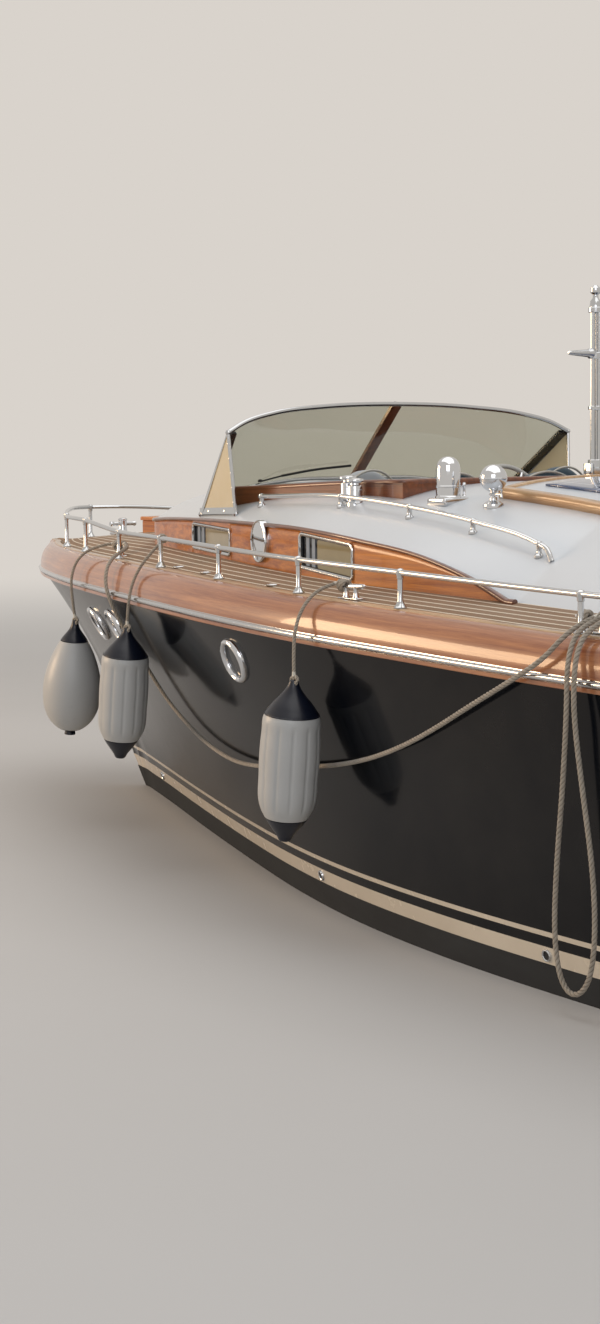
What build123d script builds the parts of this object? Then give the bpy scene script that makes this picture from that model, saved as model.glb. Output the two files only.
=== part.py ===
from build123d import *
import math
import os

# Speedboat, X forward, Y to port, Z up, origin on the centreline at the water, millimetres.

# hull edge, deck and cockpit
CAP_H = 150
CAP_IN = 150
STRIP_W = 45
TEAK_T = 12
CAMBER = 200
STEM_W = 10
KEEL_W = 70
PLANE_T = 22
SOLE_Z = 850
WELL_AFT = 960
WELL_FWD = 2480
WELL_HALF = 1030
CABIN_FWD = 3560
HULL_JOIN = 3790
BOARD_T = 28
BOARD_TOP = 1990
BENCH_TOP = 1330
BENCH_FWD = 1480
SEAT_TOP = 1380
SEAT_SIDES = (420, 900)
ROOF_T = 26
GAP = 6
REST = 0.3

# rails and ropes
RAIL_R = 9
POST_R = 8
BALL_R = 14
POST_LIFT = CAP_H + 14
ROPE_D = 20
LINE_D = 16
POST_SEAT = 1
BOW_POST = 5560
RAIL_BOW_Z = 1790

# hull table: x, half breadth at the sheer and at the water, keel, rub strip height, bottom fullness, flare
HULL = [
    (-6000, 1500, 1440, -260, 1245, 0.75, 0.8),
    (-5000, 1610, 1545, -420, 1235, 0.78, 0.8),
    (-4000, 1700, 1630, -540, 1232, 0.80, 0.8),
    (-3000, 1770, 1680, -610, 1235, 0.82, 0.8),
    (-1800, 1815, 1695, -650, 1252, 0.85, 0.85),
    (-900, 1830, 1670, -660, 1277, 0.90, 0.9),
    (0, 1828, 1590, -660, 1310, 0.96, 1.0),
    (800, 1795, 1445, -650, 1337, 1.02, 1.05),
    (1500, 1720, 1250, -630, 1362, 1.10, 1.1),
    (2200, 1590, 1010, -600, 1383, 1.18, 1.15),
    (2900, 1390, 755, -550, 1392, 1.25, 1.2),
    (3500, 1205, 530, -470, 1397, 1.32, 1.25),
    (4100, 1005, 300, -330, 1400, 1.40, 1.3),
    (4600, 815, 115, -130, 1400, 1.40, 1.35),
    (4900, 690, 14, -6, 1400, 1.3, 1.4),
    (5200, 560, 10, 400, 1400, 1.0, 1.4),
    (5500, 412, 10, 800, 1401, 1.0, 1.4),
    (5750, 270, 10, 1120, 1402, 1.0, 1.3),
    (5920, 150, 10, 1320, 1403, 1.0, 1.2),
    (6020, 60, 10, 1388, 1404, 1.0, 1.0),
]

# trunk table: x, half breadth, top of side, crown, fullness of the shoulder
TRUNK = [
    (-3650, 1180, 0, 1520, 2.6),
    (-3300, 1330, 0, 1690, 2.8),
    (-2500, 1410, 0, 1790, 3.0),
    (-1500, 1430, 0, 1870, 3.0),
    (-700, 1430, 0, 1915, 3.0),
    (-270, 1425, 1490, 1935, 3.0),
    (0, 1425, 1590, 1950, 3.0),
    (310, 1422, 1670, 1965, 3.1),
    (800, 1413, 1735, 1982, 3.6),
    (1370, 1355, 1778, 1995, 4.4),
    (1850, 1265, 1786, 1995, 4.5),
    (2100, 1208, 1788, 1992, 4.5),
    (2790, 1020, 1785, 1972, 4.2),
    (3260, 880, 1775, 1945, 3.6),
    (3560, 780, 1760, 1915, 3.2),
    (3800, 690, 1735, 1830, 2.8),
]
SHOULDER = (0, 50, 130, 250, 450, 800)

# places along the hull
STANCHIONS = (-5150, -4300, -3450, -2600, -1800, -950, 150, 930, 1720, 2530, 3350, 4190, 4900)
STAN_H = {4190: 185, 4900: 195}
WINDOWS = ((840, 1330, 1592, 1736), (2130, 2750, 1645, 1762))
PORTHOLES = ((1450, 1165), (3425, 1180), (3935, 1160), (-2200, 1010), (-3700, 990))
PORT_R = 85
PORT_RING = 112
PORT_DEPTH = 45
OUTLETS = ((1120, 157), (-745, 157), (4290, 157))
OUTLET_R = 26
BAND = (122, 192)
MAST_X = 750
MAST_Z = 2036
MAST_R = 32
MAST_L = 830

# seams, hatches, door and wheel
SEAM = 2
HATCH = (-1100, 440)
HATCH_HALF = 820
TRIM_W = 42
FORE = (4040, 4520)
FORE_HALF = 250
DOOR_X = (WELL_FWD - 40, WELL_FWD - 18)
DOOR_Y = (-290, 290)
DOOR_TOP = 1840
HINGES = (1050, 1380, 1700)
HINGE_R = 5
HINGE_H = 90
PLAY = 0.3
WHEEL = (2100, -660, 1790)
WHEEL_R = 270
WHEEL_TILT = 72

# windshield and what stands on the roof
SHIELD_PLAN = ((2660, 0), (2655, 480), (2640, 820), (2600, 1018))
SHIELD_SEAT = 10
SHIELD_TOP = ((2290, 0, 2390), (2275, 500, 2375), (2230, 850, 2325), (2170, 1120, 2240))
WING_PLAN = (2125, 1112)
SPOT = (400, 960)
CAPSULE = (690, 980)
VENTS = ((1290, 1100), (1195, 1130))
GRAB = ((2005, 1100), (1240, 1180), (700, 1200), (255, 1205), (-170, 1205))
GRAB_H = 50
BADGE = (1740, 1705)

# deck fittings, propellers and rudders
CLEATS = (3560, 600, -960, -4700)
FILLERS = (2440, 2040, 1300, -2200)
BOLLARD_X = 5150
PROP = (-4900, -620)
PROP_Y = 620
SHAFT_TILT = 6
SHAFT_R = 22
BLADES = 4
BLADE_R = 88
BLADE_PITCH = 42
STOCK = (-5450, 24)

# fenders and lines, point by point
FENDERS = (
    ("bow", (3870, 1112, 1190), (3960, 1112, 520), "pear",
     ((3640, 965, 1635), (3730, 1045, 1620), (3810, 1120, 1555), (3855, 1146, 1440), (3868, 1130, 1310))),
    ("middle", (2660, 1505, 1240), (2755, 1505, 545), "tube",
     ((2530, 1362, 1690), (2575, 1440, 1600), (2618, 1492, 1485), (2645, 1508, 1360))),
    ("aft", (665, 1880, 1150), (750, 1880, 425), "tube",
     ((700, 1603, 1561), (697, 1705, 1545), (690, 1805, 1475), (680, 1862, 1375), (672, 1876, 1260))),
)
# radius and depth of each fender form, from its upper eye
FENDER_FORMS = {
    "pear": [
        (0, 0), (16, 0), (24, 40), (62, 120), (118, 240), (160, 370), (166, 450), (150, 540), (106, 610),
        (48, 650), (30, 652), (30, 680), (0, 680),
    ],
    "tube": [
        (0, 0), (16, 0), (26, 26), (98, 120), (118, 150), (128, 240), (130, 420), (118, 560), (92, 610),
        (36, 690), (22, 712), (0, 716),
    ],
}
MOORING = (
    (-978, 1634, 1505), (-980, 1715, 1488), (-972, 1808, 1440), (-915, 1870, 1345), (-715, 1878, 1240),
    (-475, 1858, 1130), (-235, 1825, 1020), (10, 1795, 920), (260, 1760, 840), (520, 1715, 780),
    (780, 1665, 735), (1035, 1605, 700), (1295, 1540, 665), (1550, 1475, 635), (1805, 1405, 618),
    (2060, 1328, 625), (2315, 1255, 652), (2570, 1195, 712), (2810, 1172, 825), (2970, 1215, 1020),
    (3040, 1312, 1230), (3078, 1378, 1400), (3125, 1350, 1515), (3190, 1262, 1583), (3272, 1145, 1608),
    (3385, 1050, 1630), (3480, 1016, 1635),
)
BIGHT = (
    (-1008, 1634, 1505), (-1012, 1722, 1486), (-1030, 1812, 1440), (-1058, 1874, 1345), (-1070, 1886, 1170),
    (-1040, 1878, 880), (-1005, 1875, 600), (-985, 1872, 330), (-1010, 1872, 165), (-1065, 1872, 95),
    (-1135, 1872, 105), (-1190, 1872, 190), (-1212, 1872, 370), (-1195, 1874, 610), (-1150, 1878, 860),
    (-1108, 1884, 1130), (-1104, 1884, 1290), (-1085, 1846, 1405), (-1062, 1760, 1472), (-1042, 1634, 1505),
)


def lerp(table, x, col):
    # straight line between the rows of a table that runs in x
    rows = sorted(table)
    if x <= rows[0][0]:
        return rows[0][col]
    for a, b in zip(rows, rows[1:]):
        if x <= b[0]:
            return a[col] + (b[col] - a[col]) * (x - a[0]) / (b[0] - a[0])
    return rows[-1][col]


def inner(ys):
    # inboard edge of the covering board
    return max(ys - CAP_IN, ys * 0.3)


def camber(x):
    # rise of the deck from its edge to the centreline
    return CAMBER * min(1.0, max(0.1, (6100 - x) / 2800), (x + 7500) / 4500)


def deck_z(x, y):
    ys = lerp(HULL, x, 1)
    edge = inner(ys)
    return lerp(HULL, x, 4) + CAP_H + camber(x) * max(0.0, 1 - (y / max(edge, 1)) ** 2)


def half_side(row):
    # points of half a section from keel to sheer
    _, ys, yw, zk, zs, full, flare = row
    pts = []
    for i in range(5):
        t = math.radians(90 * i / 4)
        if zk < 0:
            pts.append((yw * math.sin(t) ** full, zk * math.cos(t)))
        else:
            pts.append((STEM_W * i / 4 + 0.5, zk))
    zb = max(zk, 0)
    for u in (0.12, 0.3, 0.5, 0.75, 1.0):
        y = yw + (ys - yw) * u ** flare
        pts.append((y, zb + (zs - zb) * u))
    return pts


def section(row, deck):
    # closed wire across the hull at one station
    x = row[0]
    side = half_side(row)
    ledge = inner(row[1])
    top = [(ledge, row[4])]
    for f in (1.0, 0.75, 0.5, 0.25):
        top.append((ledge * f, deck_z(x, ledge * f) + deck))
    half = side + top
    full = half + [(0, deck_z(x, 0) + deck)] + [(-y, z) for y, z in reversed(half)]
    full[0] = (0, side[0][1])
    full.pop()
    return Wire.make_polygon([Vector(x, y, z) for y, z in full], close=True)


def ruled(wires):
    return Solid.make_loft(wires, ruled=True)


def strip(points_at, rows):
    # solid along the hull from a closed profile given at each station
    wires = []
    for row in rows:
        wires.append(Wire.make_polygon([Vector(row[0], y, z) for y, z in points_at(row)], close=True))
    return ruled(wires)


def both(shape):
    return Compound([shape, mirror(shape, Plane.XZ)])


def box(x0, x1, y0, y1, z0, z1):
    return Box(x1 - x0, y1 - y0, z1 - z0).move(Location(((x0 + x1) / 2, (y0 + y1) / 2, (z0 + z1) / 2)))


def rod(p, q, r):
    v = Vector(*q) - Vector(*p)
    return Solid.make_cylinder(r, v.length, Plane(origin=p, z_dir=v))


def ball(p, r):
    return Solid.make_sphere(r, Plane(origin=p), -90, 90, 360)


def prism(points, z0, z1):
    face = Face(Wire.make_polygon([Vector(x, y, z0) for x, y in points], close=True))
    return Solid.extrude(face, Vector(0, 0, z1 - z0))


def slab(points, y0, y1):
    # prism from a profile in x and z, across the boat
    face = Face(Wire.make_polygon([Vector(x, y0, z) for x, z in points], close=True))
    return Solid.extrude(face, Vector(0, y1 - y0, 0))


def fuse(items):
    items = list(items)
    return items[0].fuse(*items[1:]) if len(items) > 1 else items[0]


def trunk_line(x):
    return lerp(TRUNK, x, 1)


def outline(x0, x1, off):
    # plan outline of the trunk, closed
    xs = [x0] + [r[0] for r in sorted(TRUNK) if x0 < r[0] < x1] + [x1]
    port = [(x, trunk_line(x) + off) for x in xs]
    return port + [(x, -y) for x, y in reversed(port)]


def trunk_top(x):
    # top of the upright side, or the deck where the side has run out
    return max(lerp(TRUNK, x, 2), deck_z(x, trunk_line(x)) - TEAK_T)


def crown(zt, zc, yc, d, n):
    # height of the roof at a distance in from its edge
    return zt + (zc - zt) * (1 - (1 - min(d, yc * 0.8) / yc) ** n)


def roof_section(row, inset):
    x, yc, _, zc, n = row
    zt = trunk_top(x)
    half = [(yc - inset, zt - inset)]
    for d in SHOULDER[1:]:
        half.append((yc - min(d, yc * 0.8), crown(zt, zc, yc, d, n) - inset))
    half[1] = (half[1][0] - inset * 0.5, half[1][1])
    half.append((0, zc - inset))
    pts = half + [(-y, z) for y, z in reversed(half[:-1])]
    low = 1150
    pts = [(half[0][0], low)] + pts + [(-half[0][0], low)]
    return Wire.make_polygon([Vector(x, y, z) for y, z in pts], close=True)


def roof_z(x, y):
    # height of the roof's top surface
    yc, _, zc = (lerp(TRUNK, x, i) for i in (1, 2, 3))
    zt = trunk_top(x)
    n = lerp(TRUNK, x, 4)
    pts = [(yc - min(d, yc * 0.8), crown(zt, zc, yc, d, n)) for d in SHOULDER] + [(0, zc)]
    y = abs(y)
    for a, b in zip(pts, pts[1:]):
        if b[0] <= y <= a[0]:
            return a[1] + (b[1] - a[1]) * (a[0] - y) / (a[0] - b[0])
    return zt


def under_deck(lift):
    wires = []
    for row in HULL:
        if row[0] > 4300:
            continue
        x = row[0]
        edge = row[1] + 60
        ledge = inner(row[1])
        pts = [(-edge, 100), (-edge, deck_z(x, ledge) + lift)]
        for k in range(-4, 5):
            pts.append((ledge * k / 4, deck_z(x, ledge * abs(k) / 4) + lift))
        pts += [(edge, deck_z(x, ledge) + lift), (edge, 100)]
        wires.append(Wire.make_polygon([Vector(x, y, z) for y, z in pts], close=True))
    return ruled(wires)


def room(z0, z1):
    # plan of the cockpit and the cabin inside the hull
    port = [(WELL_AFT, WELL_HALF), (WELL_FWD - 60, WELL_HALF), (WELL_FWD, 1010), (CABIN_FWD, 600)]
    return prism(port + [(x, -y) for x, y in reversed(port)], z0, z1)


def hatch_hole():
    return box(FORE[0], FORE[1], -FORE_HALF, FORE_HALF, deck_z(FORE[1], FORE_HALF) - TEAK_T - 60, 2200)


def fore_locker():
    e = 24
    return box(FORE[0] + e, FORE[1] - e, -FORE_HALF + e, FORE_HALF - e, 1050, 2200)


def hull_parts():
    body = ruled([section(row, -TEAK_T) for row in HULL])
    body = body - room(SOLE_Z, 2600) - hatch_hole() - fore_locker()
    for cut in hull_cuts():
        body = body - cut
    levels = (-3000, BAND[0], BAND[1], SOLE_Z, 3000)
    parts = [body & box(-7000, 7000, -3000, 3000, low, high) for low, high in zip(levels, levels[1:])]
    top = parts.pop()
    return parts + [top & box(a, b, -3000, 3000, SOLE_Z, 3000) for a, b in ((-7000, HULL_JOIN), (HULL_JOIN, 7000))]


def keel():
    top = [(3300, -480), (2200, -585), (-900, -645), (-3000, -595), (-3900, -530)]
    foot = [(-4100, -880), (-3700, -900), (1200, -820)]
    return slab(top + foot, -KEEL_W / 2, KEEL_W / 2)


def cap_profile(row):
    ys, zs = row[1], row[4]
    i = inner(ys)
    w = ys - i
    return [
        (i + STRIP_W * w / CAP_IN, zs),
        (ys, zs),
        (ys, zs + 16),
        (ys + 3, zs + 45),
        (ys - w * 0.08, zs + 90),
        (ys - w * 0.28, zs + 130),
        (ys - w * 0.5, zs + CAP_H + 6),
        (i + STRIP_W * w / CAP_IN, zs + CAP_H + 8),
    ]


def toe_profile(row):
    ys, zs = row[1], row[4]
    i = inner(ys)
    w = (ys - i) * STRIP_W / CAP_IN
    return [(i, zs), (i + w, zs), (i + w, zs + POST_LIFT), (i, zs + POST_LIFT)]


def rub_profile(row):
    ys, zs = row[1], row[4]
    half = [(ys + 16, 5), (ys + 9, 13), (ys, 16)]
    return [(y, zs - h) for y, h in reversed(half)] + [(y, zs + h) for y, h in half]


def teak():
    wires = []
    for row in HULL[:-1]:
        x = row[0]
        i = inner(row[1])
        top = [(i * k / 4, deck_z(x, i * abs(k) / 4)) for k in range(-4, 5)]
        low = [(y, z - TEAK_T) for y, z in reversed(top)]
        wires.append(Wire.make_polygon([Vector(x, y, z) for y, z in top + low], close=True))
    deck = ruled(wires)
    return deck - prism(outline(-3650, 3800, 0), 1000, 2600) - hatch_hole()


def turned(profile, origin, axis=(0, 0, 1)):
    # solid of revolution from radius and height pairs
    face = Face(Wire.make_polygon([Vector(r, 0, h) for r, h in profile], close=True))
    body = Solid.revolve(face, 360, Axis.Z)
    return body.moved(Plane(origin=origin, z_dir=axis).location)


def rail_post(h, foot_r):
    # foot, post and ball as one turned piece
    foot = [(0, 0), (foot_r, 0), (POST_R, foot_r)]
    return foot + [(POST_R, h - 14), (BALL_R, h - 6), (BALL_R, h + 6), (0, h + 13)]


def stanchion(x, side):
    # one rail post, with the point where the rail passes
    y = inner(lerp(HULL, x, 1)) + STRIP_W / 2
    z = lerp(HULL, x, 4) + POST_LIFT + POST_SEAT
    h = STAN_H.get(x, 150)
    return turned(rail_post(h, 22), (x, side * y, z)), (x, side * y, z + h)


def bow_post():
    z = deck_z(BOW_POST, 0)
    return turned(rail_post(RAIL_BOW_Z - z, 25), (BOW_POST, 0, z))


def rails():
    # straight tubes from post to post, down to the toe strip at both ends
    out = [bow_post()]
    for side in (1, -1):
        posts = [stanchion(x, side) for x in STANCHIONS]
        tops = [t for _, t in posts]
        x, y, z = tops[0]
        foot = lerp(HULL, x - 250, 4) + POST_LIFT + POST_SEAT
        bends = [(x - 250, y - side * 12, foot + 75), (x - 190, y - side * 8, z - 4)]
        nose = [(5270, side * 325, RAIL_BOW_Z - 6), (5470, side * 150, RAIL_BOW_Z)]
        tip = (BOW_POST - 10, side * (BALL_R + 1), RAIL_BOW_Z)
        line = [(bends[0][0], bends[0][1], foot)] + bends + tops + nose + [tip]
        items = [p for p, _ in posts]
        items += [rod(a, b, RAIL_R) for a, b in zip(line, line[1:])]
        items += [ball(p, RAIL_R + 2) for p in bends + nose]
        out.append(fuse(items))
    return Compound(out)


def tube_path(points, r):
    # straight tubes with round joints
    items = [rod(a, b, r) for a, b in zip(points, points[1:])]
    items += [ball(p, r) for p in points[1:-1]]
    return fuse(items)


def side_wall():
    # upright wall that follows the trunk's edge
    ring = prism(outline(-300, 3800, 0), 1300, 2100)
    ring = ring - prism(outline(-400, 3800 - PLANE_T, -PLANE_T), 1200, 2200)
    rows = [r for r in sorted(TRUNK) if r[0] >= -270]
    prof = [(r[0], trunk_top(r[0]) - SEAM) for r in rows]
    prof[-1] = (3900, prof[-1][1])
    return ring & slab([(-270, 1300)] + prof + [(3900, 1300)], -2000, 2000)


def window_place(row):
    x0, x1, z0, z1 = row
    y = (trunk_line(x0) + trunk_line(x1)) / 2
    a = math.degrees(math.atan2(trunk_line(x1) - trunk_line(x0), x1 - x0))
    return Location(((x0 + x1) / 2, y, (z0 + z1) / 2), (0, 0, a))


def window_block(row, inset, depth, r):
    x0, x1, z0, z1 = row
    b = Box(x1 - x0 - 2 * inset, depth, z1 - z0 - 2 * inset)
    return fillet(b.edges().filter_by(Axis.Y), r)


def window_cut(row):
    return window_block(row, 0, 160, 34).move(window_place(row))


def window_frames():
    out = []
    for row in WINDOWS:
        ring = window_block(row, 0, PLANE_T + 18, 34) - window_block(row, 18, 200, 20)
        out.append(ring.move(Location((0, -PLANE_T / 2, 0))).move(window_place(row)))
    return both(Compound(out))


def window_panes():
    out = []
    for row in WINDOWS:
        out.append(window_block(row, 18, 6, 20).move(Location((0, -PLANE_T / 2, 0))).move(window_place(row)))
    return both(Compound(out))


def trunk_roof(deck_cut):
    # white shell over the trunk, open over the cockpit and the aft cabin
    outer = ruled([roof_section(r, 0) for r in TRUNK])
    inside = ruled([roof_section(r, ROOF_T) for r in TRUNK[1:-1]])
    shell = outer - inside
    rows = [r for r in sorted(TRUNK) if r[0] >= -270]
    side = [(-270, 1000)] + [(r[0], trunk_top(r[0]) - SEAM) for r in rows[:-1]]
    side += [(4200, rows[-1][2] - SEAM), (4200, 1000)]
    shell = shell - slab(side, -2000, 2000)
    shell = shell - deck_cut
    return shell - box(WELL_AFT, WELL_FWD - 60, -WELL_HALF, WELL_HALF, 1500, 2600)


def boards():
    # varnished boards round the cockpit, open at the front
    fore = WELL_FWD - 60
    side = [(WELL_AFT, 1560), (WELL_AFT, BOARD_TOP), (fore, BOARD_TOP - 45), (fore, 1560)]
    inside = WELL_HALF - BOARD_T
    return slab(side, -WELL_HALF, WELL_HALF) - box(WELL_AFT + BOARD_T, WELL_FWD, -inside, inside, 1000, 2600)


def sole():
    return room(SOLE_Z, SOLE_Z + 20)


def bulkhead():
    # panel between cockpit and cabin with a doorway
    x0, x1 = DOOR_X
    half = [(-y, roof_z(WELL_FWD, y) - ROOF_T - 8) for y in (1000, 900, 480, 0)]
    arch = half + [(-y, z) for y, z in reversed(half[:-1])]
    low = SOLE_Z + 20
    points = [Vector(x0, y, z) for y, z in [(-1000, low)] + arch + [(1000, low)]]
    wall = Solid.extrude(Face(Wire.make_polygon(points, close=True)), Vector(x1 - x0, 0, 0))
    wall = wall - box(x0 - 1, x1 + 1, DOOR_Y[0], DOOR_Y[1], SOLE_Z + 60, DOOR_TOP)
    return fuse([wall] + door_pins(HINGE_R, 0))


def door_pins(r, play):
    # hinge pins at the door's corner, each on an arm that is fixed to the bulkhead
    x, y = DOOR_X[0], DOOR_Y[1] - GAP
    out = []
    for z in HINGES:
        pin = rod((x, y, z - HINGE_H / 2 - play), (x, y, z + HINGE_H / 2 + play), r)
        if play == 0:
            pin = pin.fuse(box(x - 8, x, y + 4, y + 40, z - HINGE_H / 2, z + HINGE_H / 2))
        out.append(pin)
    return out


def cabin_door():
    x0, x1 = DOOR_X
    leaf = box(x0, x1, DOOR_Y[0] + GAP, DOOR_Y[1] - GAP, SOLE_Z + 60 + GAP, DOOR_TOP - GAP)
    for pin in door_pins(HINGE_R + PLAY, PLAY):
        leaf = leaf - pin
    profile = [(0, 0), (10, 0), (10, 30), (22, 38), (22, 50), (0, 54)]
    return leaf.fuse(turned(profile, (x0, DOOR_Y[0] + 70, 1300), (-1, 0, 0)))


def dashboard():
    # console with the wheel's column on the one side, a shelf on the other
    x1 = WELL_FWD - 60
    w = WELL_HALF - BOARD_T
    body = slab([(2200, 1850), (2240, 1900), (x1, 1925), (x1, 1640), (2330, 1640)], -w, DOOR_Y[0] - 60)
    other = slab([(2260, 1880), (2280, 1900), (x1, 1925), (x1, 1800), (2330, 1800)], DOOR_Y[1] + 60, w)
    a = math.radians(WHEEL_TILT)
    def along(d):
        return (WHEEL[0] + d * math.sin(a), WHEEL[1], WHEEL[2] - d * math.cos(a))
    legs = box(x1 - 80, x1, -w, DOOR_Y[0] - 60, SOLE_Z + 20, 1640)
    column = [rod(along(25), along(190), 24), rod(along(-2), along(40), 10)]
    return Compound([fuse([body, legs] + column), other])


def wheel():
    # rim, hub with a bore for the column's pin, and three spokes
    rim = Solid.make_torus(WHEEL_R, 13, Plane.XY, 0, 360)
    hub = turned([(10.3, -18), (40, -18), (40, 14), (30, 20), (0, 20), (0, 4), (10.3, 4)], (0, 0, 0))
    spokes = []
    for k in range(3):
        a = math.radians(90 + 120 * k)
        c, s = math.cos(a), math.sin(a)
        spokes.append(rod((30 * c, 30 * s, 0), (WHEEL_R * c, WHEEL_R * s, 0), 9))
    return fuse([rim, hub] + spokes).moved(Location(WHEEL, (0, -WHEEL_TILT, 0)))


def seats():
    # boxes that carry the cushions
    low = SOLE_Z + 20
    back = [(WELL_AFT + 60, low), (WELL_AFT + 60, 1880), (WELL_AFT + 95, 1880)]
    seat = [(WELL_AFT + 115, BENCH_TOP), (BENCH_FWD, BENCH_TOP), (BENCH_FWD, low)]
    near, far = SEAT_SIDES
    helm = box(1720, 1980, -far, -near, low, SEAT_TOP)
    mate = box(1720, 1980, near, far, low, SEAT_TOP)
    return Compound([slab(back + seat, -900, 900), helm, mate])


def cushions():
    # bench seat and its three backs, then the two front seats with theirs
    top = BENCH_TOP + 110
    out = [box(WELL_AFT + 122, BENCH_FWD, -880, 880, BENCH_TOP + REST, top)]
    foot = [(WELL_AFT + 230, top + REST), (WELL_AFT + 115, top + REST)]
    head = [(WELL_AFT + 95.5, 1890), (WELL_AFT + 75, 1990), (WELL_AFT + 110, 2032), (WELL_AFT + 200, 1990)]
    for y0, y1 in ((-880, -310), (-300, 300), (310, 880)):
        out.append(slab(foot + head, y0, y1))
    near, far = SEAT_SIDES
    top = SEAT_TOP + 100
    back = [(1690, top + REST), (1640, 1960), (1660, 2015), (1720, 2015), (1790, top + REST)]
    for y0, y1 in ((-far, -near), (near, far)):
        out.append(box(1700, 2030, y0, y1, SEAT_TOP + REST, top))
        out.append(slab(back, y0 + 20, y1 - 20))
    return Compound(out)


def flip(p):
    return (p[0], -p[1], p[2])


def on_roof(x, y, h):
    return (x, y, roof_z(x, y) + h)


def shield_feet():
    return [on_roof(x, y, SHIELD_SEAT) for x, y in SHIELD_PLAN], on_roof(*WING_PLAN, SHIELD_SEAT)


def shield_frame():
    feet, wing = shield_feet()
    ring = [flip(p) for p in reversed(SHIELD_TOP[1:])] + list(SHIELD_TOP)
    sill = [flip(p) for p in reversed(feet[1:])] + feet
    items = [tube_path(ring, 13), tube_path(sill, 13), rod(feet[0], SHIELD_TOP[0], 17)]
    for s in (1, -1):
        b, t, f = ((p[0], s * p[1], p[2]) for p in (feet[-1], SHIELD_TOP[-1], wing))
        items += [rod(b, t, 14), ball(t, 14), ball(b, 14), rod(t, f, 11), rod(f, b, 12), ball(f, 12)]
    return fuse(items)


def plate(points, t):
    # thin flat plate through its corner points
    a, b, c = (Vector(*p) for p in points[:3])
    n = (b - a).cross(c - a).normalized() * t
    face = Face(Wire.make_polygon([Vector(*p) - n * 0.5 for p in points], close=True))
    return Solid.extrude(face, n)


def shield_glass(frame):
    # flat panes between the tubes, and the two wings
    feet, wing = shield_feet()
    out = []
    for s in (1, -1):
        for i in range(len(feet) - 1):
            low, high = feet[i:i + 2], SHIELD_TOP[i:i + 2]
            for corners in ((low[0], low[1], high[1]), (low[0], high[1], high[0])):
                out.append(plate([(p[0], s * p[1], p[2]) for p in corners], 6))
        out.append(plate([(p[0], s * p[1], p[2]) for p in (feet[-1], SHIELD_TOP[-1], wing)], 5))
    return fuse(out) - frame


def mast():
    # pole with a collar and a lamp at the top, a horn on its side and the pin it folds on
    x, z = MAST_X, MAST_Z
    wide = MAST_R + 8
    collar = [(MAST_R, MAST_L - 70), (wide, MAST_L - 70), (wide, MAST_L - 50), (MAST_R - 4, MAST_L - 50)]
    lamp = [(MAST_R - 4, MAST_L - 10), (14, MAST_L), (14, MAST_L + 12), (27, MAST_L + 22), (27, MAST_L + 44)]
    foot = [(0, -34), (MAST_R - 8, -34), (MAST_R, -26)]
    pole = turned(foot + collar + lamp + [(10, MAST_L + 58), (0, MAST_L + 58)], (x, 0, z))
    bell = [(0, 0), (14, 0), (16, 60), (24, 110), (44, 150), (0, 150)]
    horn = turned(bell, (x, MAST_R - 6, z + 560), (0, 1, 0))
    pin = rod((x, -41.7, z), (x, 41.7, z), 9)
    return fuse([pole, horn, pin])


def mast_foot():
    x, z = MAST_X, MAST_Z
    floor = roof_z(x, 0)
    base = box(x - 75, x + 75, -85, 85, floor + 1, floor + 11)
    cheeks = [box(x - 30, x + 30, s * 47 - 5, s * 47 + 5, floor + 5, z + 30) for s in (1, -1)]
    return fuse([base] + cheeks)


def spotlight_base():
    x, y = SPOT
    z = roof_z(x, y)
    profile = [(0, -14), (46, -14), (46, 12), (30, 22), (17, 26), (17, 40), (9, 40), (9, 56), (0, 56)]
    return turned(profile, (x, y, z))


def spotlight_head():
    x, y = SPOT
    z = roof_z(x, y)
    neck = turned([(9.3, 45), (20, 45), (20, 56), (14, 60), (14, 75), (0, 75), (0, 58), (9.3, 58)], (x, y, z))
    bar = rod((x - 14, y, z + 53), (x - 52, y, z + 53), 6)
    wing = box(x - 60, x - 50, y - 4, y + 4, z + 40, z + 76)
    return fuse([neck, ball((x, y, z + 124), 62), bar, wing])


def dome_capsule():
    x, y = CAPSULE
    z = roof_z(x, y)
    foot = box(x - 64, x + 64, y - 74, y + 74, z - 24, z + 16)
    tower = turned([(0, 10), (56, 10), (56, 145), (50, 172), (34, 192), (12, 202), (0, 202)], (x, y, z))
    knob = rod((x - 44, y - 58, z + 10), (x - 44, y - 58, z + 62), 8)
    return fuse([foot, tower, knob])


def twin_vents():
    body = [(0, -16), (38, -16), (38, 6), (33, 8), (33, 92)]
    cowl = [(20, 104), (20, 112), (39, 124), (39, 130), (0, 134)]
    return [turned(body + cowl, (x, y, roof_z(x, y))) for x, y in VENTS]


def grab_rail(side):
    pts = [(x, side * y, roof_z(x, y) + GRAB_H) for x, y in GRAB]
    x, y = GRAB[-1]
    end = (x - 80, side * y, roof_z(x - 80, y))
    items = [tube_path(pts + [end], RAIL_R), ball(pts[0], RAIL_R)]
    profile = [(0, -4), (20, -4), (20, 6), (9, 12), (9, GRAB_H + 2), (0, GRAB_H + 2)]
    for x, y, z in pts:
        items.append(turned(profile, (x, y, z - GRAB_H)))
    return fuse(items)


def badge():
    # plain oval plate on both sides of the trunk
    x, z = BADGE
    angle = math.degrees(math.atan2(trunk_line(x + 60) - trunk_line(x - 60), 120))
    plate = Solid.extrude(Face(Wire.make_ellipse(78, 60, Plane.XZ)), Vector(0, 8, 0))
    plate = plate.moved(Location((x, trunk_line(x), z), (0, 0, angle)))
    return [plate, mirror(plate, Plane.XZ)]


def raised(h):
    # solid under a surface that stands off the roof
    return ruled([roof_section(r, -h) for r in TRUNK[2:-2]])


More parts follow.
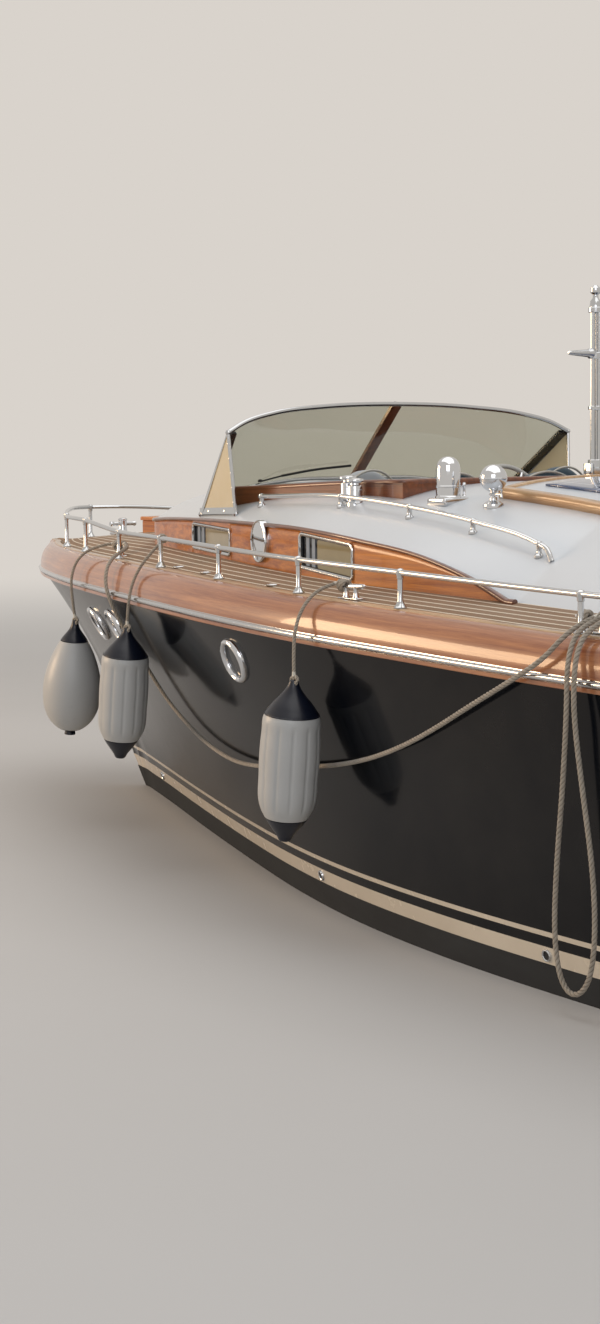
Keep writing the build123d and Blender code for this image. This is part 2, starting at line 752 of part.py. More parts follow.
def skylight():
    # wooden trim, flat top and thin panel that follow the crown of the roof
    base = raised(-2)
    x0, x1 = HATCH
    inside = box(x0, x1, -HATCH_HALF, HATCH_HALF, 1500, 2300)
    outside = box(x0 - TRIM_W, x1 + TRIM_W, -HATCH_HALF - TRIM_W, HATCH_HALF + TRIM_W, 1500, 2300)
    top = (raised(40) & inside) - base
    trim = (raised(48) & outside) - base - inside
    step = 110
    face = box(x0 + step, x1 - step, -HATCH_HALF + step, HATCH_HALF - step, 1500, 2300)
    panel = (raised(50) & face) - raised(40)
    return trim, top, panel


def fore_hatch():
    z = deck_z(FORE[1], FORE_HALF) - TEAK_T
    top = deck_z(FORE[0], 0) + 30
    outer = box(FORE[0], FORE[1], -FORE_HALF, FORE_HALF, z - 60, top)
    frame = outer - box(FORE[0] + 24, FORE[1] - 24, -FORE_HALF + 24, FORE_HALF - 24, 1000, 2200)
    lid = box(FORE[0] - 12, FORE[1] + 12, -FORE_HALF - 12, FORE_HALF + 12, top + 0.3, top + 25)
    return frame, lid


def cleat(x, y, z, a):
    # base plate, two posts and the bar
    items = [Box(150, 46, 12).move(Location((0, 0, 6)))]
    for dx in (-38, 38):
        items.append(Cylinder(13, 52).move(Location((dx, 0, 32))))
    items.append(Cylinder(12, 230).move(Location((0, 0, 60), (0, 90, 0))))
    return fuse(items).move(Location((x, y, z), (0, 0, a)))


def cleat_place(x):
    y = inner(lerp(HULL, x, 1)) - 45
    a = math.degrees(math.atan2(lerp(HULL, x + 300, 1) - lerp(HULL, x - 300, 1), 600))
    return y, deck_z(x, y + 12), a


def deck_fittings():
    # cleats in pairs, the mooring post on the foredeck and the filler caps
    out = []
    for x in CLEATS:
        y, z, a = cleat_place(x)
        out += [cleat(x, y, z, a), cleat(x, -y, z, -a)]
    x = BOLLARD_X
    z = deck_z(x, 0)
    post = turned([(0, 0), (30, 0), (26, 20), (26, 84), (18, 96), (0, 96)], (x, 0, z + 12))
    bar = rod((x, -95, z + 70), (x, 95, z + 70), 14)
    out.append(fuse([box(x - 70, x + 70, -60, 60, z, z + 14), post, bar]))
    for x in FILLERS:
        y = inner(lerp(HULL, x, 1)) - 62
        for s in (1, -1):
            out.append(turned([(0, -4), (34, -4), (34, 5), (26, 9), (0, 9)], (x, s * y, deck_z(x, y))))
    return Compound(out)


def hull_side(x, z):
    # half breadth of the hull at a height above the water
    def at(row):
        pts = half_side(row)
        for a, b in zip(pts, pts[1:]):
            if a[1] <= z <= b[1]:
                return a[0] + (b[0] - a[0]) * (z - a[1]) / max(b[1] - a[1], 1e-6)
        return pts[-1][0]
    rows = sorted(HULL)
    for a, b in zip(rows, rows[1:]):
        if a[0] <= x <= b[0]:
            ya, yb = at(a), at(b)
            return ya + (yb - ya) * (x - a[0]) / (b[0] - a[0])
    return at(rows[-1])


def hull_plane(x, z, side):
    # plane on the hull's skin with its axis straight out
    dx = (hull_side(x + 60, z) - hull_side(x - 60, z)) / 120
    dz = (hull_side(x, z + 50) - hull_side(x, z - 50)) / 100
    return Plane(origin=(x, side * hull_side(x, z), z), z_dir=(-dx, side, -dz))


def hull_disc(x, z, side, r, low, high):
    p = hull_plane(x, z, side)
    return Solid.make_cylinder(r, high - low, p.offset(low))


def hull_spots():
    return [(x, z, s, PORT_RING, PORT_R) for x, z in PORTHOLES for s in (1, -1)]


def hull_cuts():
    cuts = [hull_disc(x, z, s, r, -PORT_DEPTH, 60) for x, z, s, r, _ in hull_spots()]
    for x, z in OUTLETS:
        cuts.append(hull_disc(x, z, 1, OUTLET_R, -40, 60))
    for y in (PROP_Y, -PROP_Y):
        cuts.append(rod((STOCK[0], y, -700), (STOCK[0], y, -170), STOCK[1] + 0.3))
    return cuts


def hull_fittings():
    # porthole rings and outlet rims
    rings = []
    for x, z, s, r, hole in hull_spots():
        rings.append(hull_disc(x, z, s, r, -PORT_DEPTH, 14) - hull_disc(x, z, s, hole, -PORT_DEPTH - 5, 60))
    for x, z in OUTLETS:
        rings.append(hull_disc(x, z, 1, OUTLET_R, -40, 10) - hull_disc(x, z, 1, OUTLET_R - 8, -50, 60))
    return Compound(rings)


def porthole_glass():
    return Compound([hull_disc(x, z, s, hole, -38, -30) for x, z, s, _, hole in hull_spots()])


def propeller(y):
    # hub with a bore for the shaft and four pitched blades
    hub = [(40, -80), (46, 0), (42, 60), (20, 92), (0, 96)]
    bore = SHAFT_R + PLAY
    parts = [turned([(bore, -80)] + hub + [(0, -10), (bore, -10)], (0, 0, 0))]
    for k in range(BLADES):
        disc = Solid.make_cylinder(BLADE_R, 14, Plane(origin=(BLADE_R + 40, 0, -7)))
        disc = disc.rotate(Axis((BLADE_R + 40, 0, 0), (1, 0, 0)), BLADE_PITCH)
        parts.append(disc.rotate(Axis.Z, k * 360 / BLADES))
    a = math.radians(SHAFT_TILT)
    place = Plane(origin=(PROP[0], y, PROP[1]), z_dir=(-math.cos(a), 0, -math.sin(a)))
    return fuse(parts).moved(place.location)


def shaft(y):
    a = math.radians(SHAFT_TILT)
    def along(d):
        return (PROP[0] + d * math.cos(a), y, PROP[1] + d * math.sin(a))
    top = along(300)
    struts = [rod((top[0], y, top[2]), (top[0] + 40, y + s * 110, -360), 15) for s in (1, -1)]
    return fuse([rod(along(14), along(2450), SHAFT_R), rod(along(230), along(370), 38)] + struts)


def rudder(y):
    # blade below the hull and the stock it turns on
    edge = [(-5330, -500), (-5330, -880), (-5420, -940), (-5640, -940), (-5720, -860), (-5740, -500)]
    blade = slab(edge, y - 17, y + 17)
    stock = rod((STOCK[0], y, -560), (STOCK[0], y, -180), STOCK[1])
    return fuse([blade, stock])


def fender(top, bottom, form):
    axis = Vector(*bottom) - Vector(*top)
    k = axis.length / FENDER_FORMS[form][-1][1]
    return turned([(r, h * k) for r, h in FENDER_FORMS[form]], top, (axis.X, axis.Y, axis.Z))


def cord(points, d):
    # round line of straight runs and the largest arcs they allow
    pts = [Vector(*p) for p in points]
    radii = []
    for a, b, c in zip(pts, pts[1:], pts[2:]):
        turn = math.radians((b - a).get_angle(c - b))
        radii.append(0.45 * min((b - a).length, (c - b).length) / math.tan(turn / 2))
    wire = FilletPolyline(*pts, radius=radii).wires()[0]
    print("line", round(wire.length), "long")
    return sweep(Plane(origin=pts[0], z_dir=pts[1] - pts[0]) * Circle(d / 2), path=wire)


def save(name, shape):
    export_step(shape, "parts/" + name + ".step")


def main():
    os.makedirs("parts", exist_ok=True)
    deck_cut = under_deck(-TEAK_T)
    low, band, side, top, fore = hull_parts()
    low = low.fuse(keel())
    save("hull_bottom", low)
    save("boot_stripe", band)
    save("hull_sides", side)
    save("hull_topsides", top)
    save("hull_foredeck", fore)
    save("cap_rail", both(strip(cap_profile, HULL)))
    save("toe_strip", both(strip(toe_profile, HULL[:-1])))
    save("rub_strip", both(strip(rub_profile, HULL)))
    frame_aft, lid_aft, panel = skylight()
    frame_fore, lid_fore = fore_hatch()
    on_deck = deck_fittings()
    save("teak_deck", teak() - on_deck - bow_post())
    wall = side_wall() - deck_cut
    for row in WINDOWS:
        c = window_cut(row)
        wall = wall - c - mirror(c, Plane.XZ)
    save("trunk_sides", wall)
    save("window_frames", window_frames())
    save("window_glass", window_panes())
    roof = trunk_roof(deck_cut)
    fixed = [mast_foot(), spotlight_base(), dome_capsule()] + twin_vents()
    rails_top = [grab_rail(1), grab_rail(-1)]
    for item in fixed + rails_top:
        roof = roof - item
    frame = shield_frame()
    roof = roof - frame_aft - lid_aft - frame
    save("trunk_roof", roof)
    save("trunk_fittings", Compound(fixed + badge()))
    save("grab_rails", Compound(rails_top))
    save("cockpit_boards", boards())
    save("cockpit_sole", sole())
    save("bulkhead", bulkhead())
    save("cabin_door", cabin_door())
    save("dashboard", dashboard())
    save("steering_wheel", wheel())
    save("seat_bases", seats())
    save("seat_cushions", cushions())
    save("windshield_frame", frame)
    save("windshield_glass", shield_glass(frame))
    save("hull_fittings", hull_fittings())
    save("porthole_glass", porthole_glass())
    save("deck_rails", rails())
    save("deck_fittings", on_deck)
    save("spotlight_head", spotlight_head())
    save("mast", mast())
    save("hatch_frames", Compound([frame_aft, frame_fore]))
    save("skylight_top", lid_aft)
    save("roof_panel", panel)
    save("fore_hatch_lid", lid_fore)
    save("shafts", Compound([shaft(PROP_Y) - low, shaft(-PROP_Y) - low]))
    save("propeller_port", propeller(PROP_Y))
    save("propeller_starboard", propeller(-PROP_Y))
    save("rudder_port", rudder(PROP_Y))
    save("rudder_starboard", rudder(-PROP_Y))
    for name, top, bottom, form, route in FENDERS:
        save("fender_" + name, fender(top, bottom, form))
        save("fender_line_" + name, cord(list(route) + [top], LINE_D))
    save("mooring_line", cord(MOORING, ROPE_D))
    save("bight_line", cord(BIGHT, ROPE_D))


if __name__ == "__main__":
    main()
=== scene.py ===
import math

import bmesh
import bpy
import numpy as np
from bpy.props import FloatProperty, FloatVectorProperty, IntProperty, PointerProperty
from mathutils import Matrix, Vector


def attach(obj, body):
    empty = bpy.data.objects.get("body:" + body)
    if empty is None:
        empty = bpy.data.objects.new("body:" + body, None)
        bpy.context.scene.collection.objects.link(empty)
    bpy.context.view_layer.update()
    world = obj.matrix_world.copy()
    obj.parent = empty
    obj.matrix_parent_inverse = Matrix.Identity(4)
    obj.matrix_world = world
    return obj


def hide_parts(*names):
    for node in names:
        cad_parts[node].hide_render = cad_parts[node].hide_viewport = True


bl_info = {
    "name": "Classic Motor Boat",
    "version": (1, 0, 0),
    "blender": (4, 5, 0),
    "location": "3D View > Sidebar > Boat",
    "description": "Dresses the packed motor boat: skin, brightwork, glass, ropes, fenders and upholstery",
    "category": "Object",
}

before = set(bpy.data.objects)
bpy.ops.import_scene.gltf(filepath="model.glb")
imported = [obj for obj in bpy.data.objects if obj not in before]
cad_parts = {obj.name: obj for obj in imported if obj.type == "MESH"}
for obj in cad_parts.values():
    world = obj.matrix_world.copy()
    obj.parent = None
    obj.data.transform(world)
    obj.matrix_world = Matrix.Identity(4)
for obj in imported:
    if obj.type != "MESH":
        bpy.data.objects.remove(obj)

# Metres in the row frame: X forward, Y to port, Z up from the water.
# hull stations: x, half breadth at the sheer, at the water, keel, rub strip, fullness of the bottom, flare
HULL = np.array([
    (-6.00, 1.500, 1.440, -0.260, 1.245, 0.75, 0.80),
    (-5.00, 1.610, 1.545, -0.420, 1.235, 0.78, 0.80),
    (-4.00, 1.700, 1.630, -0.540, 1.232, 0.80, 0.80),
    (-3.00, 1.770, 1.680, -0.610, 1.235, 0.82, 0.80),
    (-1.80, 1.815, 1.695, -0.650, 1.252, 0.85, 0.85),
    (-0.90, 1.830, 1.670, -0.660, 1.277, 0.90, 0.90),
    (0.00, 1.828, 1.590, -0.660, 1.310, 0.96, 1.00),
    (0.80, 1.795, 1.445, -0.650, 1.337, 1.02, 1.05),
    (1.50, 1.720, 1.250, -0.630, 1.362, 1.10, 1.10),
    (2.20, 1.590, 1.010, -0.600, 1.383, 1.18, 1.15),
    (2.90, 1.390, 0.755, -0.550, 1.392, 1.25, 1.20),
    (3.50, 1.205, 0.530, -0.470, 1.397, 1.32, 1.25),
    (4.10, 1.005, 0.300, -0.330, 1.400, 1.40, 1.30),
    (4.60, 0.815, 0.115, -0.130, 1.400, 1.40, 1.35),
    (4.90, 0.690, 0.014, -0.006, 1.400, 1.30, 1.40),
    (5.20, 0.560, 0.010, 0.400, 1.400, 1.00, 1.40),
    (5.50, 0.412, 0.010, 0.800, 1.401, 1.00, 1.40),
    (5.75, 0.270, 0.010, 1.120, 1.402, 1.00, 1.30),
    (5.92, 0.150, 0.010, 1.320, 1.403, 1.00, 1.20),
    (6.02, 0.060, 0.010, 1.388, 1.404, 1.00, 1.00),
])
# cabin trunk: x, half breadth, top of the wooden side, crown of the roof, squareness of its shoulder
TRUNK = np.array([
    (-3.65, 1.180, 0.000, 1.520, 2.6),
    (-3.30, 1.330, 0.000, 1.690, 2.8),
    (-2.50, 1.410, 0.000, 1.790, 3.0),
    (-1.50, 1.430, 0.000, 1.870, 3.0),
    (-0.70, 1.430, 0.000, 1.915, 3.0),
    (-0.27, 1.425, 1.490, 1.935, 3.0),
    (0.00, 1.425, 1.590, 1.950, 3.0),
    (0.31, 1.422, 1.670, 1.965, 3.1),
    (0.80, 1.413, 1.735, 1.982, 3.6),
    (1.37, 1.355, 1.778, 1.995, 4.4),
    (1.85, 1.265, 1.786, 1.995, 4.5),
    (2.10, 1.208, 1.788, 1.992, 4.5),
    (2.79, 1.020, 1.785, 1.972, 4.2),
    (3.26, 0.880, 1.775, 1.945, 3.6),
    (3.56, 0.780, 1.760, 1.915, 3.2),
    (3.80, 0.690, 1.735, 1.890, 2.8),
])
SIDE = TRUNK[TRUNK[:, 0] > -0.3]
CAP_HEIGHT = 0.150
CAP_WIDTH = 0.150
TOE_SHARE = 0.30
CAMBER = 0.200
TEAK = 0.012
BOW_X = HULL[-1, 0]
STERN_X = HULL[0, 0]
NOSE_LENGTH = 0.05
BAND = (0.122, 0.192)
LINE = (0.235, 0.256)
WALL = 0.022
SIDE_START = -0.27
ROUND_X = 3.45
ROUND_LENGTH = 0.35
ROUND_TAPER = 0.37
SPINE_X = 3.40
# openings in the roof and deck: after end, fore end, half width
WELL = (0.960, 2.420, 1.030)
WELL_PLAN = ((0.96, 1.03), (2.42, 1.03), (2.48, 1.01), (3.56, 0.60))
FORE_HATCH = (4.040, 4.520, 0.250)
# windows: after and fore end, foot and top; oval plate: place, height, half width and half height
WINDOWS = ((0.840, 1.330, 1.568, 1.744), (2.130, 2.750, 1.620, 1.766))
WINDOW_LEAN = (0.090, 0.030)
WINDOW_INSET = 0.011
WINDOW_CORNER = 0.034
OVAL = (1.740, 1.705, 0.090, 0.104)
STANCHIONS = (-5.15, -4.30, -3.45, -2.60, -1.80, -0.95, 0.15, 0.93, 1.72, 2.53, 3.35, 4.19, 4.90)
TALL_POSTS = {4.19: 0.185, 4.90: 0.195}
POST_HEIGHT = 0.150
POST_LIFT = 0.015
RAIL_R = 0.0125
GRAB_R = 0.0115
RAIL_BOW_Z = 1.790
BOW_POST = 5.56
PORTHOLES = ((1.45, 1.165), (3.425, 1.180), (3.935, 1.160), (-2.20, 1.010), (-3.70, 0.990))
OUTLETS = ((1.12, 0.157), (-0.745, 0.157), (4.29, 0.157))
# windshield: foot and top rail from the centreline outwards, and the foot of its wing
SHIELD_PLAN = ((2.675, 0.0), (2.674, 0.480), (2.672, 0.820), (2.665, 1.032))
SHIELD_TOP = ((2.290, 0.0, 2.390), (2.275, 0.500, 2.375), (2.240, 0.860, 2.338), (2.212, 1.060, 2.290),
              (2.195, 1.170, 2.240))
WING_PLAN = (2.165, 1.150)
# roof fittings in plan
SPOT = (0.400, 0.960)
CAPSULE = (0.690, 0.980)
VENTS = ((1.290, 1.100), (1.195, 1.130))
GRAB = ((2.005, 1.100), (1.240, 1.180), (0.700, 1.200), (0.255, 1.205), (-0.170, 1.205))
GRAB_HEIGHT = 0.050
SKYLIGHT = (-1.100, 0.440, 0.820)
TRIM = 0.042
MAST = (0.750, 0.0, 2.036)
MAST_LENGTH = 0.830
MAST_TUBE_R = 0.0115
CLEATS = (3.560, 0.600, -0.960, -4.700)
FILLERS = (2.440, 2.040, 1.300, -2.200)
BOLLARD_X = 5.150
WHEEL = (2.100, -0.660, 1.790)
WHEEL_R = 0.270
RIM_R = 0.013
WHEEL_TILT = math.radians(72)
PROP = (-4.900, 0.620, -0.620)
SHAFT_TILT = math.radians(6)
SHAFT_LENGTH = 2.45
SHAFT_R = 0.022
ROPE = 0.020
FENDER_ROPE = 0.016
SOLE_Z = 0.850
COAMING = (1.990, 1.945)
DIALS = (-0.86, -0.76, -0.52, -0.42)
BENCH_SEATS = (("port", 0.595, 0.283), ("middle", 0.0, 0.298), ("starboard", -0.595, 0.283))
FRONT_SEATS = (("port", 0.66, "grey_leather"), ("starboard", -0.66, "teal"))
ROOF_THICK = 0.026
SUNK = 0.03
PANEL_INSET = 0.110
HORN_HEIGHT = 0.560
# rudder blade: after and fore edge, foot and top
RUDDER = (-5.74, -5.33, -0.94, -0.50)
STOCK_X = -5.45
STOCK_R = 0.024
FLOOR_HALF = 60
FLOOR_FADE = (9.0, 30.0)

# lines and fenders, point by point as the part's own solids run
FENDERS = (
    ("bow", (3.870, 1.112, 1.190), (3.960, 1.112, 0.520), "pear",
     ((3.640, 0.965, 1.635), (3.730, 1.045, 1.620), (3.810, 1.120, 1.555), (3.855, 1.146, 1.440),
      (3.868, 1.130, 1.310)), 0.621),
    ("middle", (2.660, 1.505, 1.240), (2.755, 1.505, 0.545), "tube",
     ((2.530, 1.362, 1.690), (2.575, 1.440, 1.600), (2.618, 1.492, 1.485), (2.645, 1.508, 1.360)), 0.509),
    ("aft", (0.665, 1.880, 1.150), (0.750, 1.880, 0.425), "tube",
     ((0.700, 1.603, 1.561), (0.697, 1.705, 1.545), (0.690, 1.805, 1.475), (0.680, 1.862, 1.375),
      (0.672, 1.876, 1.260)), 0.563),
)
FENDER_FORMS = {
    "pear": ((0, 0), (16, 0), (24, 36), (74, 112), (130, 226), (163, 350), (167, 440), (150, 540), (106, 612),
             (48, 650), (30, 652), (30, 680), (0, 680)),
    "tube": ((0, 0), (16, 0), (26, 26), (98, 120), (118, 150), (128, 240), (130, 420), (118, 560), (92, 610),
             (36, 690), (22, 712), (0, 716)),
}
# where the navy ends begin and stop on a fender, as shares of its length
FENDER_ENDS = {"pear": (120 / 680, 645 / 680), "tube": (150 / 716, 610 / 716)}
MOORING = (
    (-0.978, 1.634, 1.505), (-0.980, 1.715, 1.488), (-0.972, 1.808, 1.440), (-0.915, 1.870, 1.345),
    (-0.715, 1.878, 1.240), (-0.475, 1.858, 1.130), (-0.235, 1.825, 1.020), (0.010, 1.795, 0.920),
    (0.260, 1.760, 0.840), (0.520, 1.715, 0.780), (0.780, 1.665, 0.735), (1.035, 1.605, 0.700),
    (1.295, 1.540, 0.665), (1.550, 1.475, 0.635), (1.805, 1.405, 0.618), (2.060, 1.328, 0.625),
    (2.315, 1.255, 0.652), (2.570, 1.195, 0.712), (2.810, 1.172, 0.825), (2.970, 1.215, 1.020),
    (3.040, 1.312, 1.230), (3.078, 1.378, 1.400), (3.125, 1.350, 1.515), (3.190, 1.262, 1.583),
    (3.272, 1.145, 1.608), (3.385, 1.050, 1.630), (3.480, 1.016, 1.635),
)
BIGHT = (
    (-1.008, 1.634, 1.505), (-1.012, 1.722, 1.486), (-1.030, 1.812, 1.440), (-1.058, 1.874, 1.345),
    (-1.070, 1.886, 1.170), (-1.040, 1.878, 0.880), (-1.005, 1.875, 0.600), (-0.985, 1.872, 0.330),
    (-1.010, 1.872, 0.165), (-1.065, 1.872, 0.095), (-1.135, 1.872, 0.105), (-1.190, 1.872, 0.190),
    (-1.212, 1.872, 0.370), (-1.195, 1.874, 0.610), (-1.150, 1.878, 0.860), (-1.108, 1.884, 1.130),
    (-1.104, 1.884, 1.290), (-1.085, 1.846, 1.405), (-1.062, 1.760, 1.472), (-1.042, 1.634, 1.505),
)

# the photograph's camera: place, heading, tilt, roll and lens for a frame 600 by 1324 pixels
CAMERA = (-6.970, 7.394, 2.137)
HEADING = math.radians(36)
PITCH = math.radians(5.516)
ROLL = -0.011
FOCAL_PX = 2173.0
FRAME_PX = (600.0, 1324.0)
SENSOR = 36.0
HAZE = "#D9D3CC"


def linear(code):
    """Linear colour of an sRGB hex code; a colour that is linear already stays as it is."""
    if not isinstance(code, str):
        return tuple(code)
    values = [int(code[i:i + 2], 16) / 255 for i in (1, 3, 5)]
    return tuple(v / 12.92 if v <= 0.04045 else ((v + 0.055) / 1.055) ** 2.4 for v in values)


# shapes on grids

def mm(pairs):
    """A profile written in millimetres, in metres."""
    return np.array(pairs, float) / 1000


def full_turn(count):
    """Even angles round a full turn."""
    return np.linspace(0, 2 * math.pi, count, endpoint=False)


def travelled(line):
    """Way run along a line at each of its points: the sum of its chords."""
    return np.concatenate([[0], np.cumsum(np.linalg.norm(np.diff(line, axis=0), axis=1))])


def facing(axis):
    """Matrix that turns the upright to a direction."""
    return np.array(Vector(axis).to_track_quat("Z", "Y").to_matrix())


def through(table, column, x):
    """Smooth line through a table's column: cubic pieces that take their slopes from the rows next to them."""
    knots, values = table[:, 0], table[:, column]
    slope = np.gradient(values, knots)
    x = np.clip(np.asarray(x, float), knots[0], knots[-1])
    i = np.clip(np.searchsorted(knots, x, side="right") - 1, 0, len(knots) - 2)
    h = knots[i + 1] - knots[i]
    t = (x - knots[i]) / h
    start = (1 + 2 * t) * (1 - t) ** 2 * values[i] + t * (1 - t) ** 2 * h * slope[i]
    return start + t * t * (3 - 2 * t) * values[i + 1] + t * t * (t - 1) * h * slope[i + 1]


def curve(points, count):
    """Smooth line in space through a few points, measured along their chords."""
    points = np.asarray(points, float)
    table = np.column_stack([travelled(points), points])
    s = np.linspace(0, table[-1, 0], count)
    return np.column_stack([through(table, c, s) for c in (1, 2, 3)])


def sheet(x, y, z):
    """Points on an array from three coordinates, each of which may be the same along a row or a column."""
    return np.stack(np.broadcast_arrays(x, y, z), -1)


def grid(points, round_rows=False, round_columns=False):
    """Quads between neighbours on an array of rows by columns of points."""
    n, m = points.shape[:2]
    i = np.arange(n if round_rows else n - 1)[:, None]
    j = np.arange(m if round_columns else m - 1)[None, :]
    i2, j2 = (i + 1) % n, (j + 1) % m
    faces = np.stack([i * m + j, i * m + j2, i2 * m + j2, i2 * m + j], -1).reshape(-1, 4)
    return points.reshape(-1, 3), faces.tolist()


def join(shapes):
    """Several shapes as one."""
    verts, faces, start = [], [], 0
    for points, quads in shapes:
        verts.append(points)
        faces += [[v + start for v in f] for f in quads]
        start += len(points)
    return np.concatenate(verts), faces


def with_ends(shape, sides):
    """The same shape with one face over its first ring of points and one over its last."""
    points, faces = shape
    return points, faces + [list(range(sides)), list(range(len(points) - sides, len(points)))[::-1]]


def turned_over(shape):
    """The same shape with its faces turned over."""
    return shape[0], [f[::-1] for f in shape[1]]


def mirrored(shape):
    """The shape's twin across the centreline."""
    return shape[0] * (1, -1, 1), [f[::-1] for f in shape[1]]


def pair(shape):
    """The shape and its twin."""
    return join([shape, mirrored(shape)])


def axes_along(line):
    """Two directions across a line at each of its points, carried along it without twist."""
    tangent = np.gradient(line, axis=0)
    tangent /= np.linalg.norm(tangent, axis=1)[:, None]
    guide = np.array((0, 0, 1.0)) if abs(tangent[0, 2]) < 0.9 else np.array((1.0, 0, 0))
    first = np.empty_like(line)
    for k, t in enumerate(tangent):
        guide = guide - t * (guide @ t)
        guide /= np.linalg.norm(guide)
        first[k] = guide
    return first, np.cross(tangent, first)


def tube(line, radius, sides=14, capped=True):
    """Round bar along a line; the radius is one number or one for each point."""
    line = np.asarray(line, float)
    first, second = axes_along(line)
    a = full_turn(sides)
    r = np.broadcast_to(np.asarray(radius, float), len(line))[:, None, None]
    ring = np.cos(a)[None, :, None] * first[:, None] + np.sin(a)[None, :, None] * second[:, None]
    shape = grid(line[:, None] + r * ring, round_columns=True)
    return with_ends(shape, sides) if capped else shape


def hoop(centre, radius, thick, normal=(0, 0, 1), count=48, sides=12):
    """Ring of round section about a centre."""
    a, b = full_turn(count)[:, None], full_turn(sides)[None, :]
    r = radius + thick * np.cos(b)
    ring = sheet(r * np.cos(a), r * np.sin(a), thick * np.sin(b))
    return grid(ring @ facing(normal).T + np.asarray(centre, float), True, True)


def lathe(profile, origin=(0, 0, 0), axis=(0, 0, 1), sides=32, ribs=None):
    """Surface turned about an axis from radius and height pairs; ribs scales the radius by angle and height."""
    profile = np.asarray(profile, float)
    a = full_turn(sides)[:, None]
    r, h = profile[None, :, 0], profile[None, :, 1]
    scale = 1.0 if ribs is None else ribs(a, h)
    points = sheet(r * scale * np.cos(a), r * scale * np.sin(a), h)
    return grid(points @ facing(axis).T + np.asarray(origin, float), round_rows=True)


def slab_between(low, high, thick):
    """Plate of even thickness between two lines of points, closed all round."""
    across = np.cross(np.gradient(low, axis=0), high - low)
    across = across / np.linalg.norm(across, axis=1)[:, None] * thick / 2
    ring = np.stack([low + across, high + across, high - across, low - across], 1)
    return with_ends(grid(ring, round_columns=True), 4)


def block(centre, half, edge=0.004, turn=0.0):
    """Box with rounded edges: a ball's directions pushed out to the box less the edge radius."""
    a = full_turn(24)[:, None] + math.pi / 24
    b = np.linspace(-math.pi / 2, math.pi / 2, 14)[None, :]
    ball = sheet(np.cos(b) * np.cos(a), np.cos(b) * np.sin(a), np.sin(b))
    core = np.asarray(half, float) - edge
    points = np.sign(np.round(ball, 6)) * core + ball * edge
    c, s = math.cos(turn), math.sin(turn)
    return grid(points @ np.array(((c, s, 0), (-s, c, 0), (0, 0, 1))) + np.asarray(centre, float), round_rows=True)


def pillow(centre, half, corner=0.35, crown=0.7, tilt=0.0, arch=False):
    """Stuffed pad: a superellipsoid, square in plan and crowned in height; an arch has a half-round top edge."""
    a = full_turn(72)[:, None]
    b = np.linspace(-math.pi / 2, math.pi / 2, 28)[None, :]

    def power(value, exponent):
        return np.sign(value) * np.abs(value) ** exponent
    plan = np.where(np.sin(a) > 0, 1.0, corner) if arch else corner
    u = power(np.cos(b), crown) * power(np.cos(a), plan)
    v = power(np.cos(b), crown) * power(np.sin(a), plan)
    w = power(np.sin(b), crown) + 0 * a
    points = np.stack([u * half[0], v * half[1], w * half[2]], -1)
    if arch:
        points = np.stack([points[..., 2], points[..., 0], points[..., 1]], -1)
    c, s = math.cos(tilt), math.sin(tilt)
    return grid(points @ np.array(((c, 0, s), (0, 1, 0), (-s, 0, c))) + np.asarray(centre, float), round_rows=True)


# pieces

def put(name, shape, finish_name, body="boat", closed=True, angle=35, uv=None, replaces=()):
    """A finished mesh piece on its body, at the origin, with smooth faces and sharp edges past an angle."""
    points, faces = shape
    mesh = bpy.data.meshes.new(name)
    mesh.from_pydata(np.asarray(points, float).tolist(), [], faces)
    if uv is not None:
        layer = mesh.uv_layers.new(name="along")
        corner = np.empty(len(mesh.loops), int)
        mesh.loops.foreach_get("vertex_index", corner)
        layer.data.foreach_set("uv", np.asarray(uv, float)[corner].ravel())
    work = bmesh.new()
    work.from_mesh(mesh)
    if uv is None:
        bmesh.ops.remove_doubles(work, verts=work.verts, dist=1e-5)
    if closed:
        bmesh.ops.recalc_face_normals(work, faces=work.faces)
    work.to_mesh(mesh)
    work.free()
    mesh.shade_smooth()
    mesh.set_sharp_from_angle(angle=math.radians(angle))
    obj = bpy.data.objects.new(name, mesh)
    bpy.context.scene.collection.objects.link(obj)
    mesh.materials.append(look(finish_name))
    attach(obj, body)
    if replaces:
        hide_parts(*replaces)
    return obj


def thicken(obj, thick):
    """Wall thickness, grown inwards from the modelled face."""
    made = obj.modifiers.new("wall", "SOLIDIFY")
    made.thickness = thick
    made.offset = -1
    return obj


def dress(finish_name, slot, *nodes):
    """A CAD node whose shape is right keeps it and gets its finish."""
    for name in nodes:
        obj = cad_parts[name]
        obj.data.materials.clear()
        obj.data.materials.append(look(finish_name))


# the hull, the deck and the trunk as formulas

def inner_edge(x):
    """Inboard edge of the covering board."""
    sheer = through(HULL, 1, x)
    return np.maximum(sheer - CAP_WIDTH, sheer * 0.3)


def deck_height(x, y):
    """Deck edge height plus a parabola of camber that dies out towards both ends."""
    rise = CAMBER * np.minimum(np.minimum(1, np.maximum(0.1, (6.1 - x) / 2.8)), (x + 7.5) / 4.5)
    return through(HULL, 4, x) + CAP_HEIGHT + rise * np.maximum(0, 1 - (y / inner_edge(x)) ** 2)


def hull_half(x, z):
    """Half breadth: below the water a power of a quarter ellipse, above it a flared line up to the sheer."""
    sheer, water, keel, top, full, flare = (through(HULL, c, x) for c in range(1, 7))
    low = np.maximum(keel, 0)
    u = np.clip((z - low) / np.maximum(top - low, 1e-6), 0, 1)
    above = water + (sheer - water) * u ** flare
    down = np.clip(z / np.minimum(keel, -1e-6), 0, 1)
    return np.where(z < low, water * np.sqrt(1 - down ** 2) ** full, above)


def trunk_half(x):
    """Half breadth of the cabin trunk."""
    return through(TRUNK, 1, x)


def side_top(x):
    """Top of the wooden side, which sinks to the deck aft."""
    return np.where(x < SIDE_START, 0, through(SIDE, 2, x))


